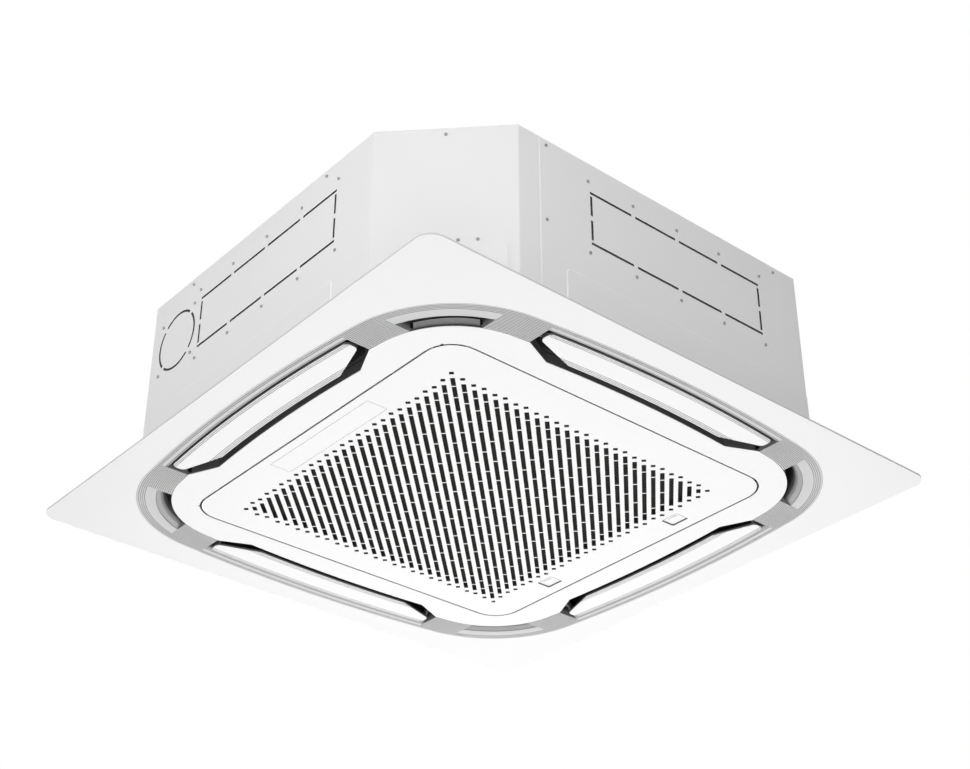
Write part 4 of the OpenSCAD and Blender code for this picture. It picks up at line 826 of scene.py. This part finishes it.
def sheet_with_holes(name, outlines, low, high, edge):
    """A flat sheet from closed outlines, the inner ones as holes, with its edges rounded."""
    curve = bpy.data.curves.new(name, "CURVE")
    curve.dimensions = "2D"
    curve.fill_mode = "BOTH"
    curve.extrude = (high - low) / 2 - edge
    curve.bevel_depth = edge
    curve.bevel_resolution = 1
    curve.offset = -edge
    for outline in outlines:
        line = curve.splines.new("POLY")
        line.points.add(len(outline) - 1)
        for point, (x, y) in zip(line.points, outline):
            point.co = (x, y, 0, 1)
        line.use_cyclic_u = True
    drawn = new_object(name + "_curve", curve)
    bpy.context.view_layer.update()
    shaped = drawn.evaluated_get(bpy.context.evaluated_depsgraph_get())
    mesh = bpy.data.meshes.new_from_object(shaped)
    mesh.transform(Matrix.Translation((0, 0, (low + high) / 2)))
    bpy.data.objects.remove(drawn)
    return new_object(name, mesh)


def make_intake_face():
    """The slotted face, with painted shade on the walls of its slots and windows."""
    outlines = [rounded_rect((GRILLE_W, GRILLE_W), GRILLE_R, steps=12)]
    outlines += slot_outlines()
    outlines.append(rect(*BADGE))
    for s in (-1, 1):
        middle = (LATCH_AT[0], s * LATCH_AT[1])
        outlines.append(rounded_rect(LATCH_WINDOW, LATCH_ROUND, middle))
    piece = sheet_with_holes("intake_face", outlines, 0, GRILLE_T, FACE_EDGE)
    piece.data.materials.clear()
    piece.data.materials.append(finishes["panel_white"])
    piece.data.materials.append(slot_painted_shade)
    # Painted shade: the walls of the slots and windows get the dark material
    rim = GRILLE_W / 2 - FACE_RIM
    for face in piece.data.polygons:
        inside = abs(face.center.x) < rim and abs(face.center.y) < rim
        if inside and abs(face.normal.z) < UPRIGHT:
            face.material_index = 1
    soften(piece)
    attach(piece, "intake_lid")
    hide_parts("grille")


def make_latch_outlines():
    """Painted shade: the thin grey line round each latch window."""
    work = bmesh.new()
    outer = rounded_rect(LATCH_WINDOW, LATCH_ROUND)
    inner = rounded_rect([w - 2 * LATCH_LINE for w in LATCH_WINDOW], LATCH_ROUND - LATCH_LINE)
    for s in (-1, 1):
        place = Matrix.Translation((LATCH_AT[0], s * LATCH_AT[1], 0))
        ring_block(work, place, outer, inner, LATCH_LINE_LOW, GRILLE_T)
    piece = new_object("latch_shade_lines", to_mesh(work, "latch_shade_lines"))
    piece.data.materials.append(outline_painted_shade)
    soften(piece)
    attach(piece, "intake_lid")


# Light, camera and floor

def lamp(name, place, aim, size, power):
    """A square soft light that the camera does not see."""
    data = bpy.data.lights.new(name, "AREA")
    data.shape = "SQUARE"
    data.size = size
    data.energy = power
    piece = new_object(name, data)
    piece.location = place
    piece.rotation_euler = (Vector(aim) - Vector(place)).to_track_quat("-Z", "Y").to_euler()
    piece.visible_camera = False


def directly_seen(tree):
    """1 for the camera, reflections and glass, and 0 for the light that falls on the part."""
    path = tree.nodes.new("ShaderNodeLightPath")
    seen = path.outputs["Is Camera Ray"]
    for way in ("Is Glossy Ray", "Is Transmission Ray"):
        seen = calculated(tree, "MAXIMUM", seen, path.outputs[way])
    return seen


def make_world(level):
    """A soft even light, which the camera and reflections see as plain white."""
    world = bpy.data.worlds.new("studio")
    bpy.context.scene.world = world
    world.use_nodes = True
    tree = world.node_tree
    tree.nodes.clear()
    through = directly_seen(tree)
    soft = add_node(tree, "ShaderNodeBackground", Color=(1, 1, 1, 1), Strength=level)
    white = add_node(tree, "ShaderNodeBackground", Color=(1, 1, 1, 1), Strength=1)
    mix = tree.nodes.new("ShaderNodeMixShader")
    out = tree.nodes.new("ShaderNodeOutputWorld")
    tree.links.new(through, mix.inputs[0])
    tree.links.new(soft.outputs[0], mix.inputs[1])
    tree.links.new(white.outputs[0], mix.inputs[2])
    tree.links.new(mix.outputs[0], out.inputs[0])


def make_floor():
    """A plain pale floor, well below the unit, which hangs from a ceiling."""
    work = bmesh.new()
    for p in rect((0, 0), (FLOOR_SIZE, FLOOR_SIZE)):
        work.verts.new((*p, FLOOR_Z))
    work.faces.new(work.verts)
    floor = new_object("floor", to_mesh(work, "floor"))
    made, tree, shader = shader_of("floor_pale", grey(0.85), 0.9)
    shader.inputs["Emission Color"].default_value = (1, 1, 1, 1)
    pale = calculated(tree, "MULTIPLY", directly_seen(tree), FLOOR_LEVEL)
    tree.links.new(pale, shader.inputs["Emission Strength"])
    floor.data.materials.append(made)


def make_camera():
    """The photo's view, from below the hinge corner."""
    data = bpy.data.cameras.new("camera")
    data.lens = LENS
    data.sensor_width = SENSOR
    piece = new_object("camera", data)
    right = Vector(CAMERA_RIGHT)
    forward = Vector(CAMERA_FORWARD).normalized()
    up = right.cross(forward)
    turn = Matrix((right, up, -forward)).transposed().to_4x4()
    piece.matrix_world = Matrix.Translation(CAMERA_AT) @ turn
    bpy.context.scene.camera = piece


make_camera()
make_casing()
make_casing_screws()
make_intake_face()
make_latch_outlines()
make_world(WORLD_LEVEL)
for row in LAMPS:
    lamp(*row)
make_floor()
bpy.context.scene.view_settings.view_transform = "Standard"
